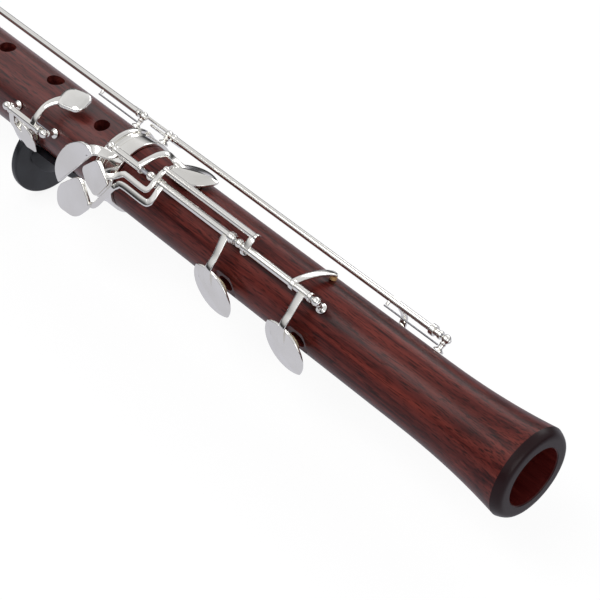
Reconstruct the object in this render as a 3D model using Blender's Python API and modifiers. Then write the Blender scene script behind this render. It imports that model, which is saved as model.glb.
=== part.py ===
"""Tenor recorder: rosewood head, middle and foot joints, with silver-plated keywork.

X runs along the bore towards the bell, whose end is at X = 0. +Z is the side with the finger
holes and -Y is the side of the player's right hand. A place on the body is given by its X, its
angle in degrees from +Z towards -Y, and its distance from the bore's axis.
"""
import math

import bmesh
import bpy
from mathutils import Matrix, Vector

MM = 0.001

# Joints of the body
TOTAL_LENGTH = 775 * MM
HEAD_LENGTH = 255 * MM
FOOT_LENGTH = 262.5 * MM
SEAT_GAP = 0.3 * MM
TENON_LENGTH = 24.7 * MM
TENON_RADIUS = 13.9 * MM
CORK_DEPTH = 0.6 * MM
CORK_LENGTH = 11.4 * MM
MIDDLE_RADIUS_LOW = 17.3 * MM
MIDDLE_RADIUS_HIGH = 17.6 * MM
HEAD_RADIUS = 18.2 * MM
BEAK_RADIUS = 15.5 * MM
FOOT_RADIUS_TOP = 17.05 * MM
FOOT_RADIUS_LOW = 17.65 * MM
FLARE_LENGTH = 62 * MM
FLARE_POWER = 2.3
BELL_RADIUS = 22.0 * MM
BELL_ROUNDING = 4.3 * MM
BELL_LIP_RADIUS = 14.2 * MM
FOOT_BORE_RADIUS = 10.6 * MM
MIDDLE_BORE_LOW = 10.0 * MM
MIDDLE_BORE_HIGH = 11.5 * MM
HEAD_BORE_RADIUS = 12.9 * MM

# Silver rings over the two sockets
RING_LENGTH = 14.2 * MM
RING_BAND_RADIUS = 18.7 * MM
RING_WAIST_RADIUS = 17.7 * MM
RING_BEAD_RADIUS = 19.6 * MM
RING_SEAT_RADIUS = 16.2 * MM

# Windway, window and beak
WINDOW_X = -690 * MM
WINDOW_LENGTH = 5.5 * MM
WINDWAY_WIDTH = 13 * MM
WINDWAY_HEIGHT = 1.1 * MM
LABIUM_LENGTH = 33 * MM
LABIUM_EDGE = 13.3 * MM
BEAK_CURVE_RADIUS = 73.5 * MM

# Hinge lines of the keys: angle and distance from the bore's axis
NEAR_LINE = (34.0, 25.0 * MM)
FAR_LINE = (-47.0, 24.0 * MM)
SHARP_LINE = (68.5, 25.0 * MM)
TUBE_RADIUS = 2.5 * MM
ROD_RADIUS = 0.9 * MM
ROD_CLEARANCE = 0.3 * MM
BALL_RADIUS = 2.4 * MM
STEM_RADIUS = 1.5 * MM
SHANK_RADIUS = 1.2 * MM
SHANK_DEPTH = 3.6 * MM
SPRING_RADIUS = 0.4 * MM
SPRING_LEVEL = 20.0 * MM

# Posts along the hinge lines
POST_1 = -255.0 * MM
POST_2 = -226.5 * MM
POST_3 = -166.2 * MM
POST_4 = -117.3 * MM
SHARP_POSTS = (-321.6 * MM, -293.4 * MM)
FAR_POSTS_LOW = (-250.4 * MM, -69.4 * MM)
FAR_POSTS_HIGH = (-443.0 * MM, -269.0 * MM)

# Cups, pads and tone holes
FLAT_DEPTH = 1.2 * MM
PAD_THICKNESS = 2.4 * MM
PAD_RADIUS = 5.6 * MM
CUP_WALL = 0.8 * MM
LEAF_THICKNESS = 1.4 * MM
OPEN_ANGLE = 8.5
KEY_HOLE_RADIUS = 4.2 * MM

# Touches
TOUCH_ANGLE = 75.0
TOUCH_LEVEL = 28.0 * MM
TOUCH_THICKNESS = 1.7 * MM

# Thumb rest
REST_X = (-320 * MM, -284 * MM)
REST_RADIUS = 20.8 * MM
HOOK_RADIUS = 22 * MM
HOOK_THICKNESS = 3.6 * MM
REST_SCREWS = (-308 * MM, -293 * MM)

# Finger holes of the middle joint: X, angle, radius
FINGER_HOLES = (
    (-316.0 * MM, -5.4, 4.4 * MM),
    (-274.5 * MM, 11.6, 3.9 * MM),
    (-352.0 * MM, 0.0, 4.2 * MM),
    (-396.0 * MM, 0.0, 4.0 * MM),
    (-434.0 * MM, 0.0, 4.2 * MM),
    (-470.0 * MM, 0.0, 3.9 * MM),
    (-486.0 * MM, 180.0, 3.4 * MM),
)

BODY_STEPS = 28
SMALL_STEPS = 10
ALONG_X = Matrix.Rotation(math.radians(90), 4, "Y")
FOOT_TOP = -FOOT_LENGTH
HEAD_END = -TOTAL_LENGTH + HEAD_LENGTH


def at(x, angle, radius):
    """Point at X, at an angle from +Z towards -Y, at a distance from the bore's axis."""
    turn = math.radians(angle)
    return Vector((x, -radius * math.sin(turn), radius * math.cos(turn)))


def on_plane(x, angle, level, across):
    """Point on the plane that faces an angle: level is its height, across grows with the angle."""
    turn = math.radians(angle)
    facing = Vector((0, -math.sin(turn), math.cos(turn)))
    side = Vector((0, -math.cos(turn), -math.sin(turn)))
    return Vector((x, 0, 0)) + facing * level + side * across


def facing_frame(x, angle, level, across=0.0):
    """Frame whose Z axis points away from the bore at an angle, X along the bore, Y as the angle grows."""
    place = on_plane(x, angle, level, across)
    turn = Matrix.Rotation(math.radians(angle), 4, "X")
    return Matrix.Translation(place) @ turn @ Matrix.Scale(-1, 4, (0, 1, 0))


def swung(line, degrees):
    """Turn about a hinge line, which runs along X."""
    centre = at(0, *line)
    turn = Matrix.Rotation(math.radians(degrees), 4, "X")
    return Matrix.Translation(centre) @ turn @ Matrix.Translation(-centre)


def foot_radius(x):
    """Outer radius of the foot: a slight taper, and a flare that grows towards the bell."""
    taper = FOOT_RADIUS_TOP + (FOOT_RADIUS_LOW - FOOT_RADIUS_TOP) * (x + FOOT_LENGTH) / FOOT_LENGTH
    into_flare = max(0.0, x + FLARE_LENGTH + BELL_ROUNDING) / FLARE_LENGTH
    return taper + (BELL_RADIUS - FOOT_RADIUS_LOW) * into_flare ** FLARE_POWER


def middle_radius(x):
    """Outer radius of the middle joint, which widens slightly towards the head."""
    share = (x - FOOT_TOP) / (HEAD_END - FOOT_TOP)
    return MIDDLE_RADIUS_LOW + (MIDDLE_RADIUS_HIGH - MIDDLE_RADIUS_LOW) * share


def wood_radius(x):
    """Outer radius of the wood at X."""
    return foot_radius(x) if x > FOOT_TOP else middle_radius(x)


def clear_scene():
    """Remove every object from the scene."""
    for item in list(bpy.data.objects):
        bpy.data.objects.remove(item, do_unlink=True)


def make_collection(name):
    """A new collection in the scene."""
    collection = bpy.data.collections.new(name)
    bpy.context.scene.collection.children.link(collection)
    return collection


def make_material(name, colour, metallic, roughness):
    """A Principled material from a linear colour."""
    material = bpy.data.materials.new(name)
    material.use_nodes = True
    shader = material.node_tree.nodes["Principled BSDF"]
    shader.inputs["Base Color"].default_value = (*colour, 1)
    shader.inputs["Metallic"].default_value = metallic
    shader.inputs["Roughness"].default_value = roughness
    return material


clear_scene()
PARTS = make_collection("Tenor_recorder")
TOOLS = make_collection("Shaping_solids")
ROSEWOOD = make_material("Rosewood", (0.15, 0.03, 0.02), 0.0, 0.3)
SILVER = make_material("Silver_plate", (0.85, 0.84, 0.82), 1.0, 0.12)
STEEL = make_material("Steel", (0.55, 0.56, 0.58), 1.0, 0.25)
CORK = make_material("Cork", (0.55, 0.36, 0.2), 0.0, 0.9)
LEATHER = make_material("Pad_leather", (0.75, 0.68, 0.55), 0.0, 0.7)
CEDAR = make_material("Cedar", (0.5, 0.25, 0.13), 0.0, 0.7)
PLASTIC = make_material("Black_plastic", (0.012, 0.013, 0.015), 0.0, 0.25)


def keep(item, name, material):
    """Give a finished piece its name and material and put it with the recorder's parts."""
    item.name = name
    item.data.name = name
    item.data.materials.clear()
    item.data.materials.append(material)
    TOOLS.objects.unlink(item)
    PARTS.objects.link(item)
    item.hide_render = False
    item.display_type = "TEXTURED"
    item.data.shade_smooth()
    return item


def as_tool(item):
    """Put a new shape with the shaping solids, until keep() makes it a part."""
    TOOLS.objects.link(item)
    item.hide_render = True
    item.display_type = "WIRE"
    return item


def mesh_object(name, mesh_builder):
    """An object from a bmesh."""
    mesh = bpy.data.meshes.new(name)
    mesh_builder.to_mesh(mesh)
    mesh_builder.free()
    return as_tool(bpy.data.objects.new(name, mesh))


def turned(name, profile, steps, frame=ALONG_X, closed=True):
    """Turn a profile of (radius, distance) points, outer side first from the far end."""
    mesh = bpy.data.meshes.new(name)
    count = len(profile)
    edges = [(i, i + 1) for i in range(count - 1)]
    if closed:
        edges.append((count - 1, 0))
    mesh.from_pydata([(radius, 0, along) for radius, along in profile], edges, [])
    item = as_tool(bpy.data.objects.new(name, mesh))
    item.matrix_world = frame
    screw = item.modifiers.new("Turn", "SCREW")
    screw.steps = steps
    screw.render_steps = steps
    screw.use_merge_vertices = True
    screw.merge_threshold = 0.00001
    return item


def cylinder(name, start, end, radius, segments=SMALL_STEPS, radius_end=None):
    """A cylinder or cone between two points."""
    builder = bmesh.new()
    axis = end - start
    bmesh.ops.create_cone(
        builder, cap_ends=True, segments=segments, radius1=radius,
        radius2=radius if radius_end is None else radius_end, depth=axis.length,
    )
    frame = Matrix.Translation((start + end) / 2) @ axis.to_track_quat("Z", "Y").to_matrix().to_4x4()
    builder.transform(frame)
    return mesh_object(name, builder)


def box(name, low, high):
    """A box between its lowest and highest corner."""
    builder = bmesh.new()
    bmesh.ops.create_cube(builder, size=1)
    size = Vector(high) - Vector(low)
    builder.transform(Matrix.Translation((Vector(high) + Vector(low)) / 2) @ Matrix.Diagonal((*size, 1)))
    return mesh_object(name, builder)


def plate(name, outline, thickness, frame, edge=0.35 * MM):
    """A flat plate with softened edges, centred on the frame's XY plane."""
    curve = bpy.data.curves.new(name, "CURVE")
    curve.dimensions = "2D"
    curve.fill_mode = "BOTH"
    curve.extrude = thickness / 2 - edge
    curve.bevel_depth = edge
    curve.bevel_resolution = 0
    curve.offset = -edge
    spline = curve.splines.new("POLY")
    spline.points.add(len(outline) - 1)
    for point, (along, across) in zip(spline.points, outline):
        point.co = (along, across, 0, 1)
    spline.use_cyclic_u = True
    guide = bpy.data.objects.new(name, curve)
    TOOLS.objects.link(guide)
    graph = bpy.context.evaluated_depsgraph_get()
    mesh = bpy.data.meshes.new_from_object(guide.evaluated_get(graph))
    bpy.data.objects.remove(guide, do_unlink=True)
    builder = bmesh.new()
    builder.from_mesh(mesh)
    bmesh.ops.remove_doubles(builder, verts=builder.verts, dist=0.000002)
    builder.transform(frame)
    bmesh.ops.recalc_face_normals(builder, faces=builder.faces)
    return mesh_object(name, builder)


def strap(name, points, widths, thickness, side=None):
    """A flat arm with chamfered corners through points. Its flat side faces away from the bore."""
    builder = bmesh.new()
    rings = []
    half = thickness / 2
    soft = thickness / 4
    for index, (point, width) in enumerate(zip(points, widths)):
        ahead = points[min(index + 1, len(points) - 1)] - points[max(index - 1, 0)]
        ahead.normalize()
        across = Vector(side) if side else ahead.cross(Vector((0, point.y, point.z)).normalized())
        across = (across - ahead * across.dot(ahead)).normalized()
        out = across.cross(ahead)
        corners = (
            (width / 2, half - soft), (width / 2 - soft, half), (soft - width / 2, half),
            (-width / 2, half - soft), (-width / 2, soft - half), (soft - width / 2, -half),
            (width / 2 - soft, -half), (width / 2, soft - half),
        )
        rings.append([builder.verts.new(point + across * u + out * v) for u, v in corners])
    for first, second in zip(rings, rings[1:]):
        for i in range(8):
            j = (i + 1) % 8
            builder.faces.new((first[i], first[j], second[j], second[i]))
    builder.faces.new(rings[0])
    builder.faces.new(rings[-1])
    bmesh.ops.recalc_face_normals(builder, faces=builder.faces)
    return mesh_object(name, builder)


def leaf_outline(length, width, turn):
    """A cup's outline: two arcs that meet in a point at each end."""
    half = length / 2
    rise = width / 2
    radius = (half * half + rise * rise) / (2 * rise)
    spread = math.asin(half / radius)
    steps = 6
    points = []
    for sign in (1, -1):
        for i in range(steps):
            angle = sign * spread * (1 - 2 * i / steps)
            along = sign * -radius * math.sin(sign * angle)
            across = sign * (radius * math.cos(angle) - (radius - rise))
            points.append((along, across))
    cos, sin = math.cos(math.radians(turn)), math.sin(math.radians(turn))
    return [(x * cos - y * sin, x * sin + y * cos) for x, y in reversed(points)]


def rounded_outline(length, width, corner, turn):
    """A rectangle with round corners, turned about its middle."""
    points = []
    for sx, sy, start in ((1, 1, 0), (-1, 1, 90), (-1, -1, 180), (1, -1, 270)):
        for i in range(4):
            angle = math.radians(start + 30 * i)
            points.append((sx * (length / 2 - corner) + corner * math.cos(angle),
                           sy * (width / 2 - corner) + corner * math.sin(angle)))
    cos, sin = math.cos(math.radians(turn)), math.sin(math.radians(turn))
    return [(x * cos - y * sin, x * sin + y * cos) for x, y in points]


def half_oval_outline(length, depth, turn):
    """A half oval: straight on one side, round on the other."""
    points = [(length / 2 * math.cos(math.pi * i / 14), depth * math.sin(math.pi * i / 14) ** 0.8)
              for i in range(15)]
    cos, sin = math.cos(math.radians(turn)), math.sin(math.radians(turn))
    return [(x * cos - y * sin, x * sin + y * cos) for x, y in points]


def boolean(item, tool, operation):
    """Cut a shaping solid from a piece, or join it to the piece."""
    modifier = item.modifiers.new(operation.title(), "BOOLEAN")
    modifier.operation = operation
    modifier.object = tool
    modifier.solver = "EXACT"


def join(item, *tools):
    """Join shaping solids to a piece."""
    for tool in tools:
        boolean(item, tool, "UNION")


def cut(item, *tools):
    """Cut shaping solids from a piece."""
    for tool in tools:
        boolean(item, tool, "DIFFERENCE")


def hinge_bore(x_start, x_end, line):
    """Shaping solid of the hole that a hinge rod runs in."""
    reach = 1 * MM
    return cylinder("Hinge_bore", at(x_start - reach, *line), at(x_end + reach, *line),
                    ROD_RADIUS + ROD_CLEARANCE, 12)


def radial_hole(x, angle, radius, depth_from, segments=16):
    """Shaping solid of a hole drilled towards the bore, down to a distance from its axis."""
    top = wood_radius(x) + 3 * MM
    return cylinder("Drilling", at(x, angle, depth_from), at(x, angle, top), radius, segments)


def hinge_tube(name, x_start, x_end, line, radius=TUBE_RADIUS):
    """Solid hinge tube along a hinge line, before its bore is cut."""
    return cylinder(name, at(x_start, *line), at(x_end, *line), radius, 16)


def collar(x, line):
    """Narrow ring round a hinge tube."""
    half = 1.3 * MM
    return cylinder("Collar", at(x - half, *line), at(x + half, *line), TUBE_RADIUS + 0.7 * MM, 16)


def spring_hook(x, line):
    """Peg under a hinge tube that the needle spring bears on."""
    angle, radius = line
    tip = SPRING_LEVEL + SPRING_RADIUS + SEAT_GAP
    return cylinder("Spring_hook", at(x, angle, tip), at(x, angle, radius), 0.8 * MM, 8)


def make_post(name, x, line, surface=None, base_radius=2.6 * MM):
    """A turned post with a ball head that carries hinge rods, screwed in or soldered on."""
    angle, level = line
    screwed = surface is None
    ground = (wood_radius(x) if screwed else surface) + SEAT_GAP
    profile = [(0, level + BALL_RADIUS)]
    for i in range(1, 5):
        turn = math.pi * i / 6
        profile.append((BALL_RADIUS * math.sin(turn), level + BALL_RADIUS * math.cos(turn)))
    profile.append((STEM_RADIUS, level - BALL_RADIUS * 0.85))
    profile.append((STEM_RADIUS, ground + 1.6 * MM))
    profile.append((base_radius, ground + 0.9 * MM))
    profile.append((base_radius, ground))
    if screwed:
        profile.append((SHANK_RADIUS, ground))
        profile.append((SHANK_RADIUS, ground - SHANK_DEPTH))
        profile.append((0, ground - SHANK_DEPTH))
    else:
        profile.append((0, ground))
    frame = Matrix.Translation((x, 0, 0)) @ Matrix.Rotation(math.radians(angle), 4, "X")
    post = turned(name, profile, SMALL_STEPS, frame, closed=False)
    cut(post, hinge_bore(x - BALL_RADIUS, x + BALL_RADIUS, line))
    return keep(post, name, SILVER)


def shank_hole(x, angle):
    """Shaping solid of the hole that a post's shank or a screw sits in."""
    bottom = wood_radius(x) - SHANK_DEPTH - SEAT_GAP
    return radial_hole(x, angle, SHANK_RADIUS + SEAT_GAP, bottom, 10)


def make_rod(name, x_start, x_end, line):
    """Steel rod of a hinge."""
    return keep(cylinder(name, at(x_start, *line), at(x_end, *line), ROD_RADIUS, 12), name, STEEL)


def make_spring(name, post_x, tip_x, line):
    """Needle spring from a post to the hook of its key."""
    angle = line[0]
    start = post_x + math.copysign(STEM_RADIUS + SEAT_GAP, tip_x - post_x)
    wire = cylinder(name, at(start, angle, SPRING_LEVEL), at(tip_x, angle, SPRING_LEVEL), SPRING_RADIUS, 8)
    return keep(wire, name, STEEL)


def key_seat(x):
    """Distance from the bore's axis to the flat that a pad seats on."""
    return wood_radius(x) - FLAT_DEPTH


def cup_solids(x, angle, leaf, swing):
    """Leaf plate and pad cup of a key, closed on its tone hole and then swung by a turn."""
    seat = key_seat(x)
    rim = seat + PAD_THICKNESS - 0.5 * MM
    top = seat + SEAT_GAP + PAD_THICKNESS + SEAT_GAP + CUP_WALL
    leaf_frame = facing_frame(x, angle, top + LEAF_THICKNESS / 2 - 0.2 * MM)
    cover = plate("Leaf", leaf_outline(*leaf), LEAF_THICKNESS, swing @ leaf_frame)
    dish = cylinder("Dish", at(x, angle, rim), at(x, angle, top), PAD_RADIUS + SEAT_GAP + CUP_WALL, 20)
    dish.data.transform(swing)
    hollow = cylinder("Dish_hollow", at(x, angle, rim - 1 * MM), at(x, angle, top - CUP_WALL),
                      PAD_RADIUS + SEAT_GAP, 20)
    hollow.data.transform(swing)
    cut(dish, hollow)
    return cover, dish


def make_pad(name, x, angle, swing):
    """Leather pad in a key's cup."""
    seat = key_seat(x) + SEAT_GAP
    pad = cylinder(name, at(x, angle, seat), at(x, angle, seat + PAD_THICKNESS), PAD_RADIUS, 20)
    pad.data.transform(swing)
    return keep(pad, name, LEATHER)


def tone_hole(x, angle, bore):
    """Shaping solids of a pad's flat and of the hole in it."""
    seat = key_seat(x)
    flat = cylinder("Pad_flat", at(x, angle, seat), at(x, angle, wood_radius(x) + 6 * MM),
                    PAD_RADIUS + 1.6 * MM, 20)
    hole = cylinder("Tone_hole", at(x, angle, bore - 2 * MM), at(x, angle, seat + 1 * MM),
                    KEY_HOLE_RADIUS, 16)
    return flat, hole


def finish_key(key, name, x_start, x_end, line):
    """Bore a key's hinge tube for its rod and keep the key."""
    cut(key, hinge_bore(x_start, x_end, line))
    return keep(key, name, SILVER)


# Places of the keyed tone holes: X and angle
SHARP_CUP = (-312.0 * MM, 100.0)
D_SHARP_CUP = (-216.3 * MM, -5.0)
LOW_C_CUP = (-171.0 * MM, 106.0)
LOW_B_CUP = (-123.8 * MM, 106.0)
LEFT_CUP = (-101.0 * MM, -118.0)
LARGE_LEAF = (28.0 * MM, 21.0 * MM, 44.0)
SMALL_LEAF = (24.0 * MM, 14.5 * MM, -32.0)
SHARP_LEAF = (20.0 * MM, 14.0 * MM, 36.0)


def touch_point(x, across, drop=0.0):
    """Point in the plane of the little finger's touches."""
    return on_plane(x * MM, TOUCH_ANGLE, TOUCH_LEVEL - drop * MM, across * MM)


def make_sharp_key():
    """G sharp key on the middle joint: round touch on top, leaf cup at the side."""
    x0, x1 = SHARP_POSTS[0] + BALL_RADIUS + 0.3 * MM, SHARP_POSTS[1] - BALL_RADIUS - 0.3 * MM
    key = hinge_tube("Sharp_key", x0, x1, SHARP_LINE)
    touch_frame = facing_frame(-291.3 * MM, 15, 23.6 * MM, 0.6 * MM)
    touch = plate("Touch", rounded_outline(16.5 * MM, 14 * MM, 5.5 * MM, -20), 2.0 * MM, touch_frame,
                  0.6 * MM)
    rise = [(-300.5, 66, 26.6), (-300.3, 57, 26.5), (-299.6, 43, 25.9), (-297.4, 31, 24.9),
            (-293.5, 20, 24.2)]
    arm = strap("Touch_arm", [at(x * MM, a, r * MM) for x, a, r in rise],
                [w * MM for w in (3.4, 3.2, 3.2, 4.0, 5.0)], 1.6 * MM)
    fall = [(-316.2, 70, 26.2), (-315.4, 82, 24.6), (-313.6, 92, 22.4), (-311.8, 99, 21.6)]
    cup_arm = strap("Cup_arm", [at(x * MM, a, r * MM) for x, a, r in fall],
                    [w * MM for w in (3.2, 3.2, 3.6, 4.0)], 1.6 * MM)
    still = Matrix.Identity(4)
    join(key, touch, arm, cup_arm, *cup_solids(*SHARP_CUP, SHARP_LEAF, still),
         spring_hook(-305.5 * MM, SHARP_LINE))
    finish_key(key, "g_sharp_key", x0, x1, SHARP_LINE)
    make_pad("g_sharp_pad", *SHARP_CUP, still)


def make_d_sharp_key():
    """D sharp key: half-oval touch, and a closed leaf cup on top of the foot."""
    x0, x1 = POST_1 + BALL_RADIUS + 0.3 * MM, POST_2 - BALL_RADIUS - 3.4 * MM
    key = hinge_tube("D_sharp_key", x0, x1, NEAR_LINE)
    middle = facing_frame(-264.1 * MM, TOUCH_ANGLE, TOUCH_LEVEL, -1.05 * MM)
    touch = plate("Touch", half_oval_outline(29.4 * MM, 11.6 * MM, 125.0), TOUCH_THICKNESS, middle,
                  0.5 * MM)
    web_points = [touch_point(-260.2, -12.2, 0.2), touch_point(-255.6, -14.9, 1.2),
                  at(-250.6 * MM, 42, 26.9 * MM), at(-249.4 * MM, 35, 25.6 * MM)]
    web = strap("Web", web_points, [w * MM for w in (6.0, 5.0, 4.4, 4.2)], 1.5 * MM)
    rise = [(-234.2, 33, 26.8), (-232.4, 22, 27.0), (-230.8, 12, 27.2), (-229.2, 4, 26.4),
            (-226.6, 0, 23.4), (-222.5, -2, 21.7), (-217.5, -5, 21.3)]
    arm = strap("Cup_arm", [at(x * MM, a, r * MM) for x, a, r in rise],
                [w * MM for w in (3.2, 3.2, 3.4, 3.6, 3.6, 3.6, 3.6)], 1.5 * MM)
    still = Matrix.Identity(4)
    join(key, web, touch, arm, *cup_solids(*D_SHARP_CUP, SMALL_LEAF, still),
         spring_hook(-244.0 * MM, NEAR_LINE))
    finish_key(key, "d_sharp_key", x0, x1, NEAR_LINE)
    make_pad("d_sharp_pad", *D_SHARP_CUP, still)


def cup_arm(x, line, cup, swing, widths, sign=1):
    """Arm from a hinge tube down to the middle of an open cup."""
    angle, level = line
    top = key_seat(cup[0]) + 2 * SEAT_GAP + PAD_THICKNESS + CUP_WALL + LEAF_THICKNESS
    over = swing @ on_plane(cup[0], cup[1], top + 0.3 * MM, -sign * 11.0 * MM)
    end = swing @ on_plane(cup[0], cup[1], top - 0.1 * MM, 0)
    start = at(x, angle + sign * 3, level + 1.4 * MM)
    bend = start.lerp(over, 0.5) + Vector((0, over.y, over.z)).normalized() * 1.2 * MM
    over.x = (x + cup[0]) / 2
    return strap("Cup_arm", [start, bend, over, end], [w * MM for w in widths], 1.6 * MM)


def make_low_c_key():
    """Low C key: open leaf cup on the near side, worked by the outer of the two square touches."""
    x0, x1 = -219.1 * MM, POST_3 - BALL_RADIUS - 0.3 * MM
    key = hinge_tube("Low_c_key", x0, x1, NEAR_LINE)
    frame = facing_frame(-263.0 * MM, TOUCH_ANGLE, TOUCH_LEVEL, 12.6 * MM)
    touch = plate("Touch", rounded_outline(12.0 * MM, 14.4 * MM, 2.6 * MM, 26), TOUCH_THICKNESS, frame,
                  0.5 * MM)
    route = [touch_point(-259.0, 12.0, 0.9), touch_point(-253.5, 11.6, 0.9),
             touch_point(-246.6, 10.4, 0.9), touch_point(-241.6, 4.8, 0.9),
             touch_point(-240.0, -2.0, 1.0), at(-238.6 * MM, 63.0, 26.6 * MM),
             at(-235.6 * MM, 58.8, 26.5 * MM), at(-221.0 * MM, 58.5, 26.5 * MM),
             at(-218.0 * MM, 56.0, 26.4 * MM), at(-217.2 * MM, 51.0, 26.3 * MM),
             at(-217.2 * MM, 43.0, 26.2 * MM), at(-217.3 * MM, 37.0, 25.9 * MM)]
    widths = [w * MM for w in (3.0, 3.0, 2.8, 2.8, 2.8, 3.0, 3.4, 3.5, 3.5, 3.4, 3.2, 3.2)]
    arm = strap("Touch_arm", route, widths, 1.5 * MM)
    swing = swung(NEAR_LINE, -OPEN_ANGLE)
    join(key, arm, touch, collar(-171.4 * MM, NEAR_LINE),
         cup_arm(-173.6 * MM, NEAR_LINE, LOW_C_CUP, swing, (4.0, 3.6, 3.8, 4.4)),
         *cup_solids(*LOW_C_CUP, LARGE_LEAF, swing), spring_hook(-197.0 * MM, NEAR_LINE))
    finish_key(key, "low_c_key", x0, x1, NEAR_LINE)
    make_pad("low_c_pad", *LOW_C_CUP, swing)


def make_low_b_key():
    """Low B key: it bridges the low C key's tube with a second tube beside it."""
    x0, x1 = POST_3 + BALL_RADIUS + 0.4 * MM, POST_4 - BALL_RADIUS - 0.3 * MM
    key = hinge_tube("Low_b_key", x0, x1, NEAR_LINE)
    bridge_line = (21.5, 28.0 * MM)
    bridge = hinge_tube("Bridge", -221.2 * MM, -159.0 * MM, bridge_line, 2.3 * MM)
    sleeve = hinge_tube("Sleeve", -223.6 * MM, -219.4 * MM, NEAR_LINE)
    frame = facing_frame(-250.9 * MM, TOUCH_ANGLE, TOUCH_LEVEL, -3.4 * MM)
    touch = plate("Touch", rounded_outline(12.2 * MM, 10.2 * MM, 2.0 * MM, 21), TOUCH_THICKNESS, frame,
                  0.5 * MM)
    route = [touch_point(-248.5, -6.2, 0.3), touch_point(-244.6, -7.4, 0.5), at(-241.4 * MM, 55.2, 27.1 * MM),
             at(-238.4 * MM, 49.6, 27.0 * MM), at(-236.0 * MM, 48.2, 27.0 * MM),
             at(-224.4 * MM, 48.4, 27.0 * MM), at(-221.9 * MM, 46.0, 27.0 * MM),
             at(-221.4 * MM, 41.0, 27.0 * MM), at(-221.4 * MM, 34.5, 27.2 * MM),
             at(-220.8 * MM, 27.5, 28.2 * MM), at(-220.0 * MM, 22.0, 28.6 * MM)]
    widths = [w * MM for w in (3.4, 3.0, 2.8, 2.8, 2.8, 2.8, 2.8, 2.8, 2.8, 3.0, 2.8)]
    arm = strap("Touch_arm", route, widths, 1.5 * MM)
    lower = strap("Lower_bridge", [at(-160.8 * MM, 20.5, 28.4 * MM), at(-160.9 * MM, 27, 27.8 * MM),
                                   at(-161.2 * MM, 34, 26.4 * MM)], [3.6 * MM, 3.8 * MM, 3.8 * MM], 1.6 * MM)
    over = [(-131.2, 33, 27.2), (-130.8, 20, 27.5), (-129.8, 6, 26.9), (-128.6, -6, 24.8),
            (-127.6, -15, 22.0), (-127.0, -21, 20.3)]
    stop_arm = strap("Stop_arm", [at(x * MM, a, r * MM) for x, a, r in over],
                     [w * MM for w in (3.6, 3.6, 3.8, 3.8, 3.8, 3.8)], 1.4 * MM)
    swing = swung(NEAR_LINE, -OPEN_ANGLE)
    join(key, lower, bridge, arm, sleeve, touch, collar(-131.2 * MM, NEAR_LINE), stop_arm,
         cup_arm(-124.6 * MM, NEAR_LINE, LOW_B_CUP, swing, (4.2, 3.8, 3.6, 4.2)),
         *cup_solids(*LOW_B_CUP, LARGE_LEAF, swing), spring_hook(-152.5 * MM, NEAR_LINE))
    cut(key, hinge_bore(-224 * MM, -219 * MM, NEAR_LINE))
    finish_key(key, "low_b_key", x0, x1, NEAR_LINE)
    make_pad("low_b_pad", *LOW_B_CUP, swing)
    ground = wood_radius(-127.2 * MM) + SEAT_GAP
    cork = cylinder("low_b_stop_cork", at(-127.2 * MM, -20, ground), at(-127.2 * MM, -20, 19.3 * MM),
                    1.7 * MM, 12)
    keep(cork, "low_b_stop_cork", CORK)


def make_left_keys():
    """Left-hand key: a lever on the middle joint that turns the long key of the foot."""
    x0, x1 = FAR_POSTS_LOW[0] + BALL_RADIUS + 0.4 * MM, FAR_POSTS_LOW[1] - BALL_RADIUS - 0.3 * MM
    key = hinge_tube("Long_key", x0, x1, FAR_LINE)
    swing = swung(FAR_LINE, OPEN_ANGLE)
    leaf = (LARGE_LEAF[0], LARGE_LEAF[1], -LARGE_LEAF[2])
    finger = strap("Finger", [at(-244.0 * MM, -49, 24.2 * MM), at(-244.6 * MM, -55, 23.8 * MM),
                              at(-247.0 * MM, -60, 23.3 * MM), at(-266.0 * MM, -60, 23.3 * MM)],
                   [3.0 * MM, 3.0 * MM, 2.6 * MM, 2.6 * MM], 1.3 * MM)
    join(key, finger, collar(-77.0 * MM, FAR_LINE),
         cup_arm(-101.0 * MM, FAR_LINE, LEFT_CUP, swing, (4.0, 3.6, 3.8, 4.4), -1),
         *cup_solids(*LEFT_CUP, leaf, swing), spring_hook(-102.5 * MM, FAR_LINE))
    finish_key(key, "long_foot_key", x0, x1, FAR_LINE)
    make_pad("long_foot_pad", *LEFT_CUP, swing)
    x0, x1 = FAR_POSTS_HIGH[0] + BALL_RADIUS + 0.3 * MM, FAR_POSTS_HIGH[1] - BALL_RADIUS - 0.4 * MM
    lever = hinge_tube("Lever", x0, x1, FAR_LINE)
    finger = strap("Finger", [at(-276.5 * MM, -49, 25.2 * MM), at(-276.0 * MM, -55, 25.4 * MM),
                              at(-273.6 * MM, -60, 25.4 * MM), at(-254.0 * MM, -60, 25.4 * MM)],
                   [3.0 * MM, 3.0 * MM, 2.6 * MM, 2.6 * MM], 1.3 * MM)
    touch = plate("Touch", rounded_outline(24 * MM, 9 * MM, 3.6 * MM, 8), TOUCH_THICKNESS,
                  facing_frame(-420 * MM, -78, 26.6 * MM), 0.5 * MM)
    arm = strap("Touch_arm", [at(-421 * MM, -50, 25.4 * MM), at(-421 * MM, -58, 26.6 * MM),
                              at(-420 * MM, -76, 26.6 * MM)], [5.0 * MM, 5.0 * MM, 5.0 * MM], 1.5 * MM)
    join(lever, finger, arm, touch, spring_hook(-298.0 * MM, FAR_LINE))
    finish_key(lever, "left_hand_lever", x0, x1, FAR_LINE)


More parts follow.
